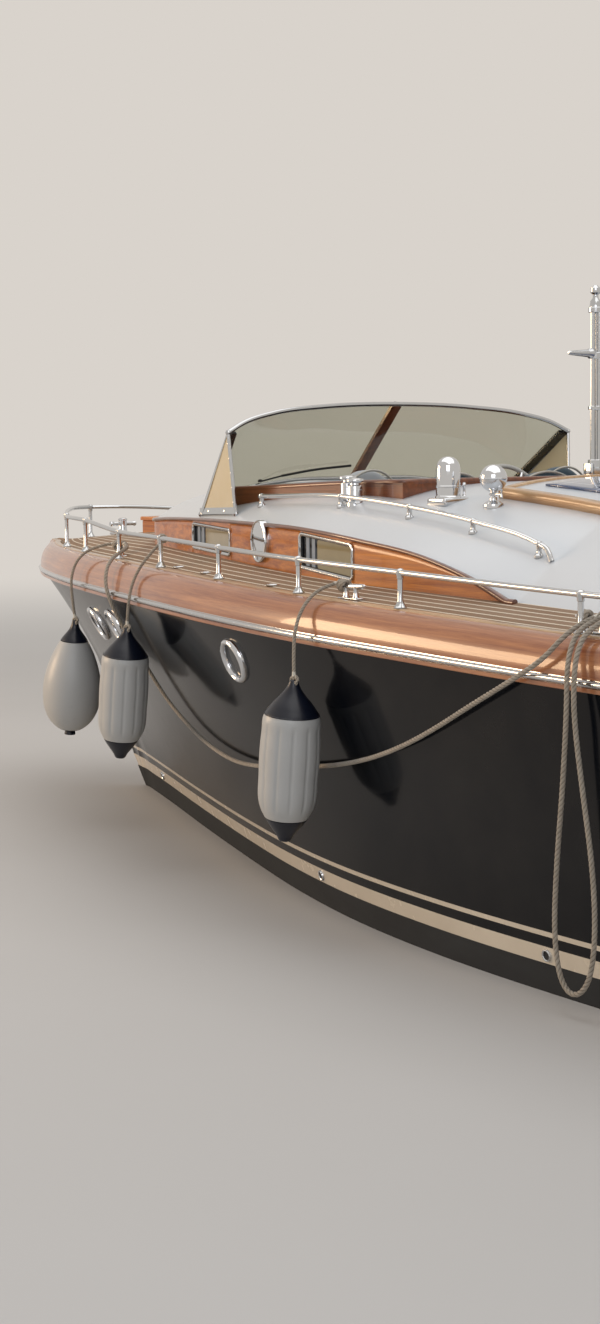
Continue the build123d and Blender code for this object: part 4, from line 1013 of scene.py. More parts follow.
MAKERS = {
    # two-pack enamel, polished: almost black, with sharp reflections in a clear coat
    "navy": lambda: enamel("navy_yacht_enamel", paint("hull"), 0.12, 0.12, level=0.12),
    # the same enamel in warm cream, a little chalked by the water
    "cream": lambda: enamel("cream_boot_enamel", paint("stripe"), 0.22, 0.6, "#A79B86", 0.35),
    # sprayed gloss enamel: white, greyed and cooled a little as painted shade, with clear reflections
    "white": lambda: enamel("white_gloss_enamel", paint("roof"), 0.30, 0.45, "#B3B3B0", 0.12, haze=0.20),
    # rolled antifouling: matt, streaked and chalky
    "bottom": lambda: bottom_paint("rolled_antifouling"),
    # ten coats of varnish on mahogany: red-brown ribbons under a wet gloss
    "cap": lambda: varnished("varnished_mahogany_rail", "#B87A4C", "#83472A", coat=0.7, by_map=True),
    "wood": lambda: varnished("varnished_mahogany_side", "#D8852B", "#95490F", coat=0.4),
    # the cockpit's mahogany is a darker copy of the same varnished wood: painted shade
    "board_wood": lambda: varnished("cockpit_mahogany", "#8A4C28", "#532712", coat=0.5),
    "dark_wood": lambda: varnished("dark_varnished_mahogany", "#7A3F22", "#45200F"),
    "inside_wood": lambda: varnished("cabin_mahogany", "#9C5A34", "#5E2E17", along=(0, 1, 0)),
    "light_wood": lambda: varnished("varnished_ash_strip", "#D9B588", "#B48555", coat=0.5),
    "toe": lambda: varnished("pale_toe_strip", "#CBAF8C", "#A2825E", coat=0.4, by_map=True),
    # sawn teak left to the weather: silver brown with pale rubber seams
    "teak": lambda: decking("bleached_teak_planks", "#856649", "#9B8168", "#E2D6C2", size("plank"), size("seam")),
    "sole": lambda: decking("teak_and_holly_sole", "#9A6B45", "#B08560", "#E2D3B4", 0.06, 0.006, False),
    # buffed stainless: a bright mirror with light smears
    "steel": lambda: polished("polished_stainless_steel", "#C9CBCD", 0.10, 0.08),
    "chrome": lambda: polished("chrome_plate_on_brass", "#D5D7DA", 0.04, 0.06, 0.03),
    "dark_steel": lambda: polished("dulled_steel_channel", "#5C5E60", 0.28, 0.15),
    "bronze": lambda: cast_bronze("cast_propeller_bronze"),
    # tinted float glass: grey-green, clear, with a film of salt
    "glass": lambda: glazing("grey_green_float_glass", "#C3C3B5"),
    "rubber": lambda: moulded("black_neoprene_seal", "#17181A", 0.55, "#3A3A3A", 0.2),
    # rotomoulded vinyl: off-white greyed as painted shade, with random rubbed grey patches and a soft sheen
    "vinyl": lambda: moulded("weathered_fender_vinyl", "#B9B9B6", 0.38, "#85837D", 0.5),
    "navy_vinyl": lambda: moulded("navy_fender_vinyl", "#0D1220", 0.30, "#2A3146", 0.35),
    "slat": lambda: moulded("blue_grey_slat", "#8A99A8", 0.5, "#5E6A76", 0.4),
    # panes with a painted reflection of low sun in them, the cabin windows also with a drawn blind: cream under a wet
    # gloss
    "wing_glass": lambda: painted_reflection_glass("sunlit_wing_glass", "#F2E3BE", "#E6D09C", 0.15),
    "pane_glass": lambda: painted_reflection_glass("blind_backed_glass", "#AFA27B", "#93865F", 0.1),
    # opaque near-black gloss with a little random dust: painted shade of the unlit cabin behind the glass
    "shade_glass": lambda: enamel("deep_port_glass", "#0B0E12", 0.06, 0.3, "#2A2E33", 0.3, level=0.3),
    "ivory": lambda: moulded("ivory_wheel_rim", "#CFCBC2", 0.28, "#A8A296", 0.2),
    "teal": lambda: leather("teal_marine_leather", paint("seats"), "#1D323E"),
    "grey_leather": lambda: leather("pale_grey_marine_leather", "#B4B7B8", "#8C9092"),
    "piping": lambda: leather("cream_piping", "#C9C4B8", "#A39C8C"),
    "rope": lambda: laid_rope("weathered_three_strand", "#B9AE9D", "#665B4D"),
    "whipping": lambda: moulded("waxed_whipping_twine", "#D8D2C4", 0.6, "#A39C8E", 0.3),
    "panel": lambda: cell_panel("ruled_blue_panel"),
}


def look(name):
    """The finish of that name."""
    if name not in LOOKS:
        LOOKS[name] = MAKERS[name]()
    return LOOKS[name]


def size(name):
    """A size that the user set."""
    return getattr(bpy.context.scene.boat_sizes, name)


# one operator for each piece or group of like pieces

class BOAT_OT_stage(bpy.types.Operator):
    """Set the camera, the floor at the waterline and the soft light"""
    bl_idname = "boat.stage"
    bl_label = "Stage"

    def execute(self, context):
        scene = context.scene
        ahead = np.array((math.cos(HEADING), -math.sin(HEADING), 0.0))
        right = np.array((-math.sin(HEADING), -math.cos(HEADING), 0.0))
        up = np.array((0, 0, 1.0))
        look_to = math.cos(PITCH) * ahead - math.sin(PITCH) * up
        top = math.sin(PITCH) * ahead + math.cos(PITCH) * up
        side = math.cos(ROLL) * right + math.sin(ROLL) * top
        top = -math.sin(ROLL) * right + math.cos(ROLL) * top
        lens = bpy.data.cameras.new("camera")
        lens.lens = FOCAL_PX * SENSOR / FRAME_PX[1]
        lens.sensor_width = SENSOR
        lens.clip_start, lens.clip_end = 0.05, 400
        camera = bpy.data.objects.new("camera", lens)
        scene.collection.objects.link(camera)
        turn = Matrix(np.column_stack([side, top, -look_to]).tolist()).to_4x4()
        camera.matrix_world = Matrix.Translation(CAMERA) @ turn
        scene.camera = camera
        scene.view_settings.view_transform = "Standard"

        def lamp(name, place, target, width, height, watts, colour):
            light = bpy.data.lights.new(name, "AREA")
            light.shape = "RECTANGLE"
            light.size, light.size_y = width, height
            light.energy = watts
            light.color = linear(colour)
            obj = bpy.data.objects.new(name, light)
            obj.location = place
            obj.rotation_euler = (Vector(target) - Vector(place)).to_track_quat("-Z", "Y").to_euler()
            scene.collection.objects.link(obj)
        lamp("sky_box", (0, 0, 14), (0, 0, 0), 22, 16, 1100, "#FFFFFF")
        lamp("low_sun_box", (14, 12, 5.0), (1, 0, 1.2), 7, 5, 1150, "#FFD9AE")
        lamp("quarter_box", (-12, 12, 8), (0, 0, 1), 10, 8, 500, "#F2F5FF")
        far = FLOOR_HALF
        mesh = bpy.data.meshes.new("floor")
        mesh.from_pydata([(-far, -far, 0), (far, -far, 0), (far, far, 0), (-far, far, 0)], [], [[0, 1, 2, 3]])
        floor = bpy.data.objects.new("floor", mesh)
        scene.collection.objects.link(floor)
        material, tree, shader, place = finish("pale_studio_floor", "#C9C7C3", 0.65)
        surface(tree, shader, ("#C6C4C0", cloud(tree, place, 0.4, 3), "#CDCBC8"))
        away = add(tree, "VectorMath", {0: place}, operation="LENGTH").outputs["Value"]
        away = add(tree, "MapRange", {"Value": away, "From Min": FLOOR_FADE[0], "From Max": FLOOR_FADE[1]},
                   interpolation_type="SMOOTHSTEP").outputs[0]
        glow = add(tree, "Emission", {"Color": HAZE, "Strength": 1.0})
        faded = add(tree, "MixShader", {0: away, 1: shader.outputs[0], 2: glow.outputs[0]})
        tree.links.new(faded.outputs[0], tree.nodes["Material Output"].inputs["Surface"])
        mesh.materials.append(material)
        world = bpy.data.worlds.new("studio")
        scene.world = world
        world.use_nodes = True
        tree = world.node_tree
        soft = tree.nodes["Background"]
        soft.inputs["Color"].default_value = (*linear("#E4E6EA"), 1)
        soft.inputs["Strength"].default_value = 0.45
        seen = add(tree, "Background", {"Color": HAZE, "Strength": 1.0})
        path = add(tree, "LightPath")
        rays = add(tree, "Math", {0: path.outputs["Is Camera Ray"], 1: path.outputs["Is Glossy Ray"]},
                   operation="MAXIMUM").outputs[0]
        rays = add(tree, "Math", {0: rays, 1: path.outputs["Is Transmission Ray"]}, operation="MAXIMUM").outputs[0]
        mixed = add(tree, "MixShader", {0: rays, 1: soft.outputs[0], 2: seen.outputs[0]})
        tree.links.new(mixed.outputs[0], tree.nodes["World Output"].inputs["Surface"])
        return {"FINISHED"}


class BOAT_OT_lines(bpy.types.Operator):
    """Lay the mooring lines and the fenders' lines"""
    bl_idname = "boat.lines"
    bl_label = "Lines"

    def execute(self, context):
        def line_of(name, route, diameter, node, wraps):
            line = route_line(route)
            shape, uv = laid(line, diameter / 2, diameter * size("lay"))
            obj = put(name, shape, "rope", uv=uv, replaces=(node,), angle=80)
            for k, part in enumerate(wraps):
                made, flat = laid(part, diameter / 2 * 0.97, diameter * size("lay"))
                put(f"{name}_turns_{k}", made, "rope", uv=flat, angle=80)
            ends = [tube(line[i:i + 5], diameter * 0.54) for i in (2, len(line) - 8)]
            put(f"{name}_whipping", join(ends), "whipping")
            return line

        def cleat_turns(x, diameter, count, shift):
            centre, turn = cleat_place(x)
            along = (math.cos(turn), math.sin(turn), 0)
            middle = centre + np.array(along) * shift + (0, 0, 0.062)
            return winding(middle, along, 0.0125, diameter, count, diameter * count * 0.9)
        for (tag, top, _, _, route, length), cleat in zip(FENDERS, (3.560, None, 0.600)):
            if cleat is None:
                centre = np.array((2.530, 1.362, 1.700))
                wraps = [winding(centre, (1, -0.25, 0), 0.009, FENDER_ROPE, 2.5, 0.045)]
            else:
                wraps = [cleat_turns(cleat, FENDER_ROPE, 3.5, 0.055 if cleat < 1 else 0.065)]
            points = list(route) + [top]
            wraps.append(winding(np.array(top) + (0, 0, -0.004), (0, 1, 0), 0.012, FENDER_ROPE, 1, 0.008, 60))
            line_of(f"fender_rope_{tag}", points, FENDER_ROPE, f"fender_line_{tag}", wraps)
        line_of("mooring_rope", MOORING, ROPE, "mooring_line",
                [cleat_turns(-0.960, ROPE, 2.5, 0.055), cleat_turns(3.560, ROPE, 1.5, -0.06)])
        line_of("bight_rope", BIGHT, ROPE, "bight_line", [cleat_turns(-0.960, ROPE, 2.5, -0.055)])
        return {"FINISHED"}


class BOAT_OT_hull(bpy.types.Operator):
    """Skin the hull: bottom, boot stripe, topsides with their thin line, and the well's lining"""
    bl_idname = "boat.hull"
    bl_label = "Hull"

    def execute(self, context):
        put("hull_skin_bottom", strake(-2, BAND[0]), "bottom", closed=False,
            replaces=("hull_bottom",))
        put("keel_fin", fin(), "bottom")
        put("boot_stripe_band", strake(*BAND, columns=5), "cream", closed=False,
            replaces=("boot_stripe",))
        put("hull_skin_low", strake(BAND[1], LINE[0], columns=4), "navy", closed=False)
        put("boot_line", strake(*LINE, columns=4), "cream", closed=False)
        across = np.linspace(-1, 1, 33)[:, None] * inner_edge(STERN_X)
        low = through(HULL, 4, STERN_X)
        high = deck_height(STERN_X, across) - 0.002
        z = low + (high - low) * np.linspace(0, 1, 6)[None, :]
        panel = grid(sheet(STERN_X, across, z))
        put("hull_skin_topsides", join([strake(LINE[1], 9.0, columns=40), panel]), "navy",
            closed=False, replaces=("hull_sides", "hull_topsides", "hull_foredeck"))
        plan = np.array(WELL_PLAN)
        plan = np.concatenate([plan, (plan * (1, -1))[::-1], plan[:1]])
        x, y = np.concatenate([np.linspace(a, b, 16)[:-1] for a, b in zip(plan[:-1], plan[1:])] + [plan[:1]]).T
        z = SOLE_Z + (deck_height(x, y) - TEAK - SOLE_Z)[:, None] * np.linspace(0, 1, 8)[None, :]
        lining = turned_over(grid(sheet(x[:, None], y[:, None], z)))
        put("well_lining", lining, "inside_wood", closed=False)
        return {"FINISHED"}


class BOAT_OT_edge(bpy.types.Operator):
    """Fit the covering board, the toe strip, the rub strip and the thin strip under it"""
    bl_idname = "boat.edge"
    bl_label = "Edge"

    def execute(self, context):
        a = np.linspace(0, math.pi / 2, 14)
        cap = np.column_stack([0.7 * (1 - np.cos(a)), 0.003 * np.cos(a), 0.016 + 0.142 * np.sin(a)])
        cap = np.concatenate([[(0.7, 0, 0.0), (0, 0.001, 0.0)], cap])
        shape, uv = moulding(cap)
        put("covering_board", shape, "cap", uv=uv, replaces=("cap_rail",), angle=50)
        toe = np.array([(1, 0, 0), (0.705, 0, 0), (0.705, 0, 0.160), (0.74, 0, 0.1645), (0.96, 0, 0.1645),
                        (1, 0, 0.160)])
        shape, uv = moulding(toe)
        put("toe_board", shape, "toe", uv=uv, replaces=("toe_strip",))
        b = np.linspace(-math.pi / 2, math.pi / 2, 9)
        rub = np.column_stack([0 * b, 0.004 + 0.012 * np.cos(b), 0.013 * np.sin(b)])
        rub = np.concatenate([[(0.05, 0, -0.016), (0, 0.003, -0.016)], rub, [(0, 0.003, 0.016), (0.05, 0, 0.016)]])
        shape, _ = moulding(rub)
        put("rub_bar", shape, "steel", replaces=("rub_strip",))
        under = np.array([(0.05, 0, -0.034), (0, 0.004, -0.034), (0, 0.007, -0.031), (0, 0.007, -0.0165),
                          (0.05, 0, -0.0165)])
        shape, uv = moulding(under)
        put("rub_wood", shape, "cap", uv=uv)
        heads = []
        for x in np.arange(-5.9, 5.9, 0.15):
            place = np.array((x, through(HULL, 1, x), through(HULL, 4, x)))
            slope = (through(HULL, 1, x + 0.05) - through(HULL, 1, x - 0.05)) / 0.1
            out = np.array((-slope, 1, 0)) / math.hypot(slope, 1)
            heads.append(lathe(mm([(4.5, 0), (3.8, 1.2), (0, 1.6)]), place + out * 0.0155, out, 8))
        put("rub_screws", pair(join(heads)), "chrome")
        return {"FINISHED"}


class BOAT_OT_transom(bpy.types.Operator):
    """Cap the transom with a varnished rail that follows the deck's camber"""
    bl_idname = "boat.transom"
    bl_label = "Transom rail"

    def execute(self, context):
        half = through(HULL, 1, STERN_X) - 0.02
        y = np.linspace(half, -half, 90)[:, None]
        deck = deck_height(STERN_X + 0 * y, np.abs(y)) - TEAK
        profile = mm([(0, 0), (-1, 20), (4, 36), (14, 45), (30, 48), (70, 46), (82, 40), (88, 28), (88, 0)])
        points = sheet(STERN_X + profile[:, 0], y, deck + profile[:, 1])
        rail = with_ends(grid(points, round_columns=True), len(profile))
        put("transom_rail", rail, "cap", uv=rail[0][:, 1::-1])
        return {"FINISHED"}


class BOAT_OT_deck(bpy.types.Operator):
    """Lay the planked deck"""
    bl_idname = "boat.deck"
    bl_label = "Deck"

    def execute(self, context):
        x0, x1, half = FORE_HATCH
        parts, maps = [], []
        for x, far in ((np.linspace(STERN_X, -3.35, 60), 0.0), (np.linspace(-3.35, 3.30, 160), None),
                       (np.linspace(3.30, x0, 30), 0.0), (np.linspace(x0, x1, 16), half),
                       (np.linspace(x1, 5.985, 60), 0.0)):
            shape, uv = deck_patch(x, trunk_half(x) - 0.03 if far is None else far + 0 * x)
            parts += [shape, mirrored(shape)]
            maps += [uv, uv]
        put("planked_deck", join(parts), "teak", closed=False, uv=np.concatenate(maps),
            replaces=("teak_deck",))
        return {"FINISHED"}


class BOAT_OT_trunk(bpy.types.Operator):
    """Build the varnished cabin side with its windows, bead and blank oval plates"""
    bl_idname = "boat.trunk"
    bl_label = "Cabin side"

    def execute(self, context):
        inset = WINDOW_INSET
        edges = [SIDE_START] + [v for w in WINDOWS for v in (w[0] + inset, w[1] - inset)] + [ROUND_X]
        shapes = []
        for k, (a, b) in enumerate(zip(edges[:-1], edges[1:])):
            x = np.linspace(a, b, max(int((b - a) / 0.02), 6))
            foot = deck_height(x, trunk_half(x)) - SUNK
            top = roof_edge(x)
            if k % 2:
                x0, x1, z0, z1 = WINDOWS[k // 2]
                lean = WINDOW_LEAN[k // 2] * (x - (x0 + x1) / 2)
                shapes += [wall_patch(x, foot, z0 + inset + lean), wall_patch(x, z1 - inset + lean, top)]
            else:
                shapes.append(wall_patch(x, foot, top))
        x, y = plan_outline(SIDE_START, 220)
        foot, top = deck_height(x, y) - SUNK, np.maximum(side_top(x), deck_height(x, y))
        z = (foot[:, None] + (top - foot)[:, None] * np.linspace(0, 1, 7)[None, :])[219:]
        shapes.append(grid(sheet(x[219:, None], y[219:, None], z)))
        wall = put("cabin_side_wood", pair(join(shapes)), "wood", closed=False,
                   replaces=("trunk_sides",))
        thicken(wall, WALL)
        line = np.column_stack([x, y + 0.004, top + 0.002])
        line = np.concatenate([line, (line * (1, -1, 1))[::-1][1:]])
        swell = 0.010 + 0.006 * np.exp(-((line[:, 0] - SIDE_START) / 0.35) ** 2)
        put("cabin_side_bead", tube(line, swell, 12), "dark_wood")
        frames, panes, shade_panes, seals, slats = [], [], [], [], []
        profile = mm([(0, -30), (0, 5), (3, 9), (8, 10.5), (13, 9), (18, 4), (18, -30)])
        seal = mm([(16, -12), (16, -4), (21, -4), (21, -12)])
        for (x0, x1, z0, z1), slope in zip(WINDOWS, WINDOW_LEAN):
            centre, along, out = wall_place(x0, x1)
            centre[2] = (z0 + z1) / 2
            along = (along + (0, 0, slope)) / math.hypot(1, slope)
            for rings, section in ((frames, profile), (seals, seal)):
                rings.append(framed(x1 - x0, z1 - z0, WINDOW_CORNER, section, centre, along, out))
            wide, tall = x1 - x0 - 0.034, z1 - z0 - 0.034
            panes.append(pane(wide * 0.7, tall, 0.02, 0.006, centre - out * 0.010 - along * wide * 0.15, along, out))
            # the fore part of each window is an opaque dark pane: painted shade of the cabin behind the glass
            shade_panes.append(pane(wide * 0.3, tall, 0.01, 0.006, centre - out * 0.012 + along * wide * 0.35, along, out))
            for k in range(2):
                place = centre - out * 0.0085 + along * wide * (0.28 + 0.115 * k)
                slats.append(pane(wide * 0.065, tall, 0.004, 0.002, place, along, out))
        put("window_slats", pair(join(slats)), "slat")
        put("window_fore_panes", pair(join(shade_panes)), "shade_glass")
        put("window_rings", pair(join(frames)), "steel", replaces=("window_frames",))
        # the panes' beige is the colour of a drawn blind and a painted reflection of low sun
        put("window_panes", pair(join(panes)), "pane_glass", replaces=("window_glass",))
        put("window_seals", pair(join(seals)), "rubber")
        x, z, wide, tall = OVAL
        centre, along, out = wall_place(x - 0.06, x + 0.06)
        centre = centre + out * 0.016
        centre[2] = z
        a = full_turn(48)[:, None]
        rim = np.array([(1.0, -0.022), (1.0, 0.004), (0.98, 0.008), (0.95, 0.009), (0.92, 0.007), (0.90, 0.0045),
                        (0.6, 0.006), (0.3, 0.007), (0.0, 0.0072)])
        share, height = rim[None, :, 0], rim[None, :, 1]
        flat = (share * np.cos(a) * wide)[..., None] * along + (share * np.sin(a) * tall)[..., None] * (0, 0, 1.0)
        plate = grid(flat + (height + 0 * a)[..., None] * out + centre, round_rows=True)
        put("blank_ovals", pair(plate), "chrome")
        return {"FINISHED"}


class BOAT_OT_roof(bpy.types.Operator):
    """Shape the white roof, open over the cockpit"""
    bl_idname = "boat.roof"
    bl_label = "Roof"

    def execute(self, context):
        aft, fore, half = WELL
        side = np.linspace(aft, fore, 60)
        back = np.linspace(-3.65, aft, 180)
        shapes = []
        for x, y, whole in ((*plan_outline(fore, 60), True), (side, trunk_half(side), False),
                            (back, trunk_half(back), True)):
            share = np.maximum(1 - half / np.maximum(y, 0.1), 0.05)
            shapes.append(roof_patch(x, y, 0 * x, share, 14))
            if whole:
                shapes.append(roof_patch(x, y, share, 0 * x + 1, 24))
        roof = put("gloss_roof", pair(join(shapes)), "white", closed=False,
                   replaces=("trunk_roof",), angle=50)
        thicken(roof, ROOF_THICK)
        return {"FINISHED"}


class BOAT_OT_skylight(bpy.types.Operator):
    """Fit the raised roof hatch with its trim and blue panel, and the fore hatch"""
    bl_idname = "boat.skylight"
    bl_label = "Hatches"

    def execute(self, context):
        x0, x1, half = SKYLIGHT
        top = put("hatch_top", roof_board(x0, x1, -half, half, 0.040, (50, 60)), "white",
                  closed=False, replaces=("skylight_top",))
        thicken(top, 0.038)
        shapes = [roof_board(x0 - TRIM, x1 + TRIM, half, half + TRIM, 0.048, (60, 3)),
                  roof_board(x0 - TRIM, x1 + TRIM, -half - TRIM, -half, 0.048, (60, 3)),
                  roof_board(x0 - TRIM, x0, -half, half, 0.048, (3, 60)),
                  roof_board(x1, x1 + TRIM, -half, half, 0.048, (3, 60))]
        trim = put("hatch_trim", join(shapes), "light_wood", closed=False,
                   replaces=("hatch_frames",))
        thicken(trim, 0.046)
        step = PANEL_INSET
        panel = put("blue_roof_panel", roof_board(x0 + step, x1 - step, -half + step, half - step, 0.050, (40, 50)),
                    "panel", closed=False, replaces=("roof_panel",))
        thicken(panel, 0.009)
        a, b, half = FORE_HATCH
        z = deck_height(b, half) - TEAK
        high = deck_height(a, 0.0) + 0.030
        ring = [(0, z - 0.06), (0, high - 0.004), (0.004, high), (0.020, high), (0.024, high - 0.004),
                (0.024, z - 0.06)]
        place = (((a + b) / 2, 0, 0), (1, 0, 0), (0, 0, 1), (0, 1, 0))
        put("fore_hatch_coaming", framed(b - a, 2 * half, 0.02, ring, *place), "wood")
        low, e = high + 0.0005, 0.012
        lid = mm([(e * 1000, 0), (0, 2), (0, 18), (4, 23), (12, 24.5), (45, 24.5), (47, 22), (51, 22), (53, 24.5),
                  (251.5, 24.5)]) + (0, low)
        put("fore_hatch_top", framed(b - a + 2 * e, 2 * half + 2 * e, 0.03, lid, *place), "wood",
            body="fore_hatch_lid", replaces=("fore_hatch_lid",))
        return {"FINISHED"}


class BOAT_OT_fittings(bpy.types.Operator):
    """Set the chromed fittings and grab rails on the roof"""
    bl_idname = "boat.fittings"
    bl_label = "Roof fittings"

    def execute(self, context):
        vent = mm([(0, -20), (41, -20), (41, 3), (39, 6), (36, 8), (35, 12), (35, 76), (33, 81), (24, 85),
                   (23, 93), (38, 98), (42.5, 103), (42.5, 109), (39, 114), (25, 117), (0, 118)])
        shapes = [lathe(vent, on_roof(x, y), sides=40) for x, y in VENTS]
        for x, y in VENTS:
            shapes += [hoop(on_roof(x, y, lift), 0.0350, 0.0016) for lift in (0.026, 0.062)]
        x, y = CAPSULE
        tower = mm([(56, 0), (62, 12), (60, 20), (56.5, 24), (56.5, 60), (58.5, 62), (58.5, 68), (56.5, 70),
                    (56.5, 145), (54, 162), (48, 176), (38, 189), (24, 198), (10, 202), (0, 202.5)])
        shapes.append(lathe(tower, on_roof(x, y), sides=48))
        shapes.append(block(on_roof(x, y, -0.004), (0.066, 0.075, 0.018), 0.008))
        knob = mm([(11, 0), (9, 4), (6, 10), (6, 38), (9, 44), (9.5, 52), (7, 60), (0, 63)])
        shapes.append(lathe(knob, on_roof(x - 0.044, y - 0.058, 0.012), sides=20))
        for dx, dy in ((-0.054, 0.062), (0.054, 0.062), (0.054, -0.062)):
            shapes.append(lathe(mm([(6, 0), (5, 2), (0, 3)]), on_roof(x + dx, y + dy, 0.0135), sides=12))
        x, y = SPOT
        base = mm([(0, -14), (46, -14), (48, 4), (46, 10), (36, 16), (30, 21), (18, 26), (17, 30), (17, 40),
                   (9, 40), (9, 56), (0, 56)])
        shapes.append(lathe(base, on_roof(x, y), sides=40))
        x, _, z = MAST
        floor = on_roof(x, 0)[2]
        shapes.append(block((x, 0, floor + 0.005), (0.076, 0.086, 0.007), 0.004))
        for s in (1, -1):
            tall = z + 0.032 - floor
            shapes.append(block((x, s * 0.047, floor + tall / 2), (0.030, 0.005, tall / 2), 0.004))
        put("roof_chrome", join(shapes), "chrome", replaces=("trunk_fittings",))
        shapes = []
        tops = np.array([on_roof(x, y, GRAB_HEIGHT) for x, y in GRAB])
        x, y = GRAB[-1]
        end = [on_roof(x - 0.045, y, GRAB_HEIGHT - 0.006), on_roof(x - 0.080, y, 0.0)]
        line = curve(np.concatenate([[tops[0] + (0.02, -0.003, 0)], tops, end]), 160)
        foot = mm([(0, -6), (21, -6), (21, 3), (18, 7), (13.5, 11), (11.5, 18)])
        head = mm([(11.5, -14), (13.5, -11), (14.5, 0), (13.5, 9), (8, 13), (0, 14)]) + (0, GRAB_HEIGHT)
        post = np.concatenate([foot, head])
        for side in (1, -1):
            shapes.append(tube(line * (1, side, 1), GRAB_R))
            shapes += [lathe(post, np.array(on_roof(x, y)) * (1, side, 1), sides=24) for x, y in GRAB]
        put("roof_grab_rails", join(shapes), "steel", replaces=("grab_rails",))
        return {"FINISHED"}


class BOAT_OT_lamp(bpy.types.Operator):
    """Make the turning lamp with its wing nut"""
    bl_idname = "boat.lamp"
    bl_label = "Lamp"

    def execute(self, context):
        place = on_roof(*SPOT)
        neck = mm([(9.3, 45), (19, 45.5), (20, 48), (20, 54), (15, 59), (13.5, 66), (15, 74)])
        a = np.linspace(-math.pi / 2 + 0.22, math.pi / 2, 40)
        globe = np.column_stack([0.062 * np.cos(a), 0.124 + 0.062 * np.sin(a)])
        globe[-1, 0] = 0
        shapes = [lathe(np.concatenate([neck, globe]), place, sides=56)]
        shapes.append(hoop(np.array(place) + (0, 0, 0.124), 0.0615, 0.0022, count=64))
        x, y, z = place
        shapes.append(tube([(x - 0.014, y, z + 0.053), (x - 0.034, y, z + 0.053), (x - 0.052, y, z + 0.053)], 0.006))
        t = np.linspace(-1, 1, 31)
        wing = np.column_stack([0 * t + x - 0.055, 0 * t + y, z + 0.057 + 0.019 * t])
        shapes.append(tube(wing, 0.0045 + 0.0035 * t ** 2, 12))
        put("lamp_globe", join(shapes), "chrome", body="spotlight_head",
            replaces=("spotlight_head",))
        return {"FINISHED"}


class BOAT_OT_mast(bpy.types.Operator):
    """Build the folding mast: three tubes, collars, finial and horn"""
    bl_idname = "boat.mast"
    bl_label = "Mast"

    def execute(self, context):
        x, _, z = MAST
        foot = np.array((x, 0, z))
        shapes = []
        for k in range(3):
            a = math.radians(90 + 120 * k)
            shift = (0.019 * math.cos(a), 0.019 * math.sin(a), 0)
            line = foot + shift + np.outer(np.linspace(0.02, MAST_LENGTH - 0.06, 30), (0, 0, 1))
            shapes.append(tube(line, MAST_TUBE_R, 20))
        for h, tall in ((10, 40), (290, 18), (535, 30), (MAST_LENGTH * 1000 - 75, 26)):
            ring = mm([(12, h), (33, h), (36, h + 3), (36, h + tall - 3), (33, h + tall), (12, h + tall)])
            shapes.append(lathe(ring, foot, sides=40))
        top = mm([(30, -52), (26, -20), (15, -6), (13, 10), (18, 14), (26, 20), (27, 30), (26, 42), (14, 50), (9, 56),
                  (0, 58)]) + (0, MAST_LENGTH)
        shapes.append(lathe(top, foot, sides=32))
        bell = mm([(0, -12), (20, -12), (25, -4), (26, 6), (24, 14), (20.5, 18), (19, 30), (10.5, 138), (9.5, 146),
                   (6, 151), (0, 152)])
        shapes.append(lathe(bell, foot + (0, 0.026, HORN_HEIGHT), (0, 1, 0), 36))
        pin = mm([(0, -41.7), (11, -41.7), (11, -37), (9, -36), (9, 36), (11, 37), (11, 41.7), (0, 41.7)])
        shapes.append(lathe(pin, foot, (0, 1, 0), 20))
        shapes.append(lathe(mm([(0, -34), (22, -34), (31, -26), (32, 0), (32, 12), (12, 13)]), foot, sides=32))
        put("mast_tubes", join(shapes), "steel", body="mast", replaces=("mast",))
        return {"FINISHED"}


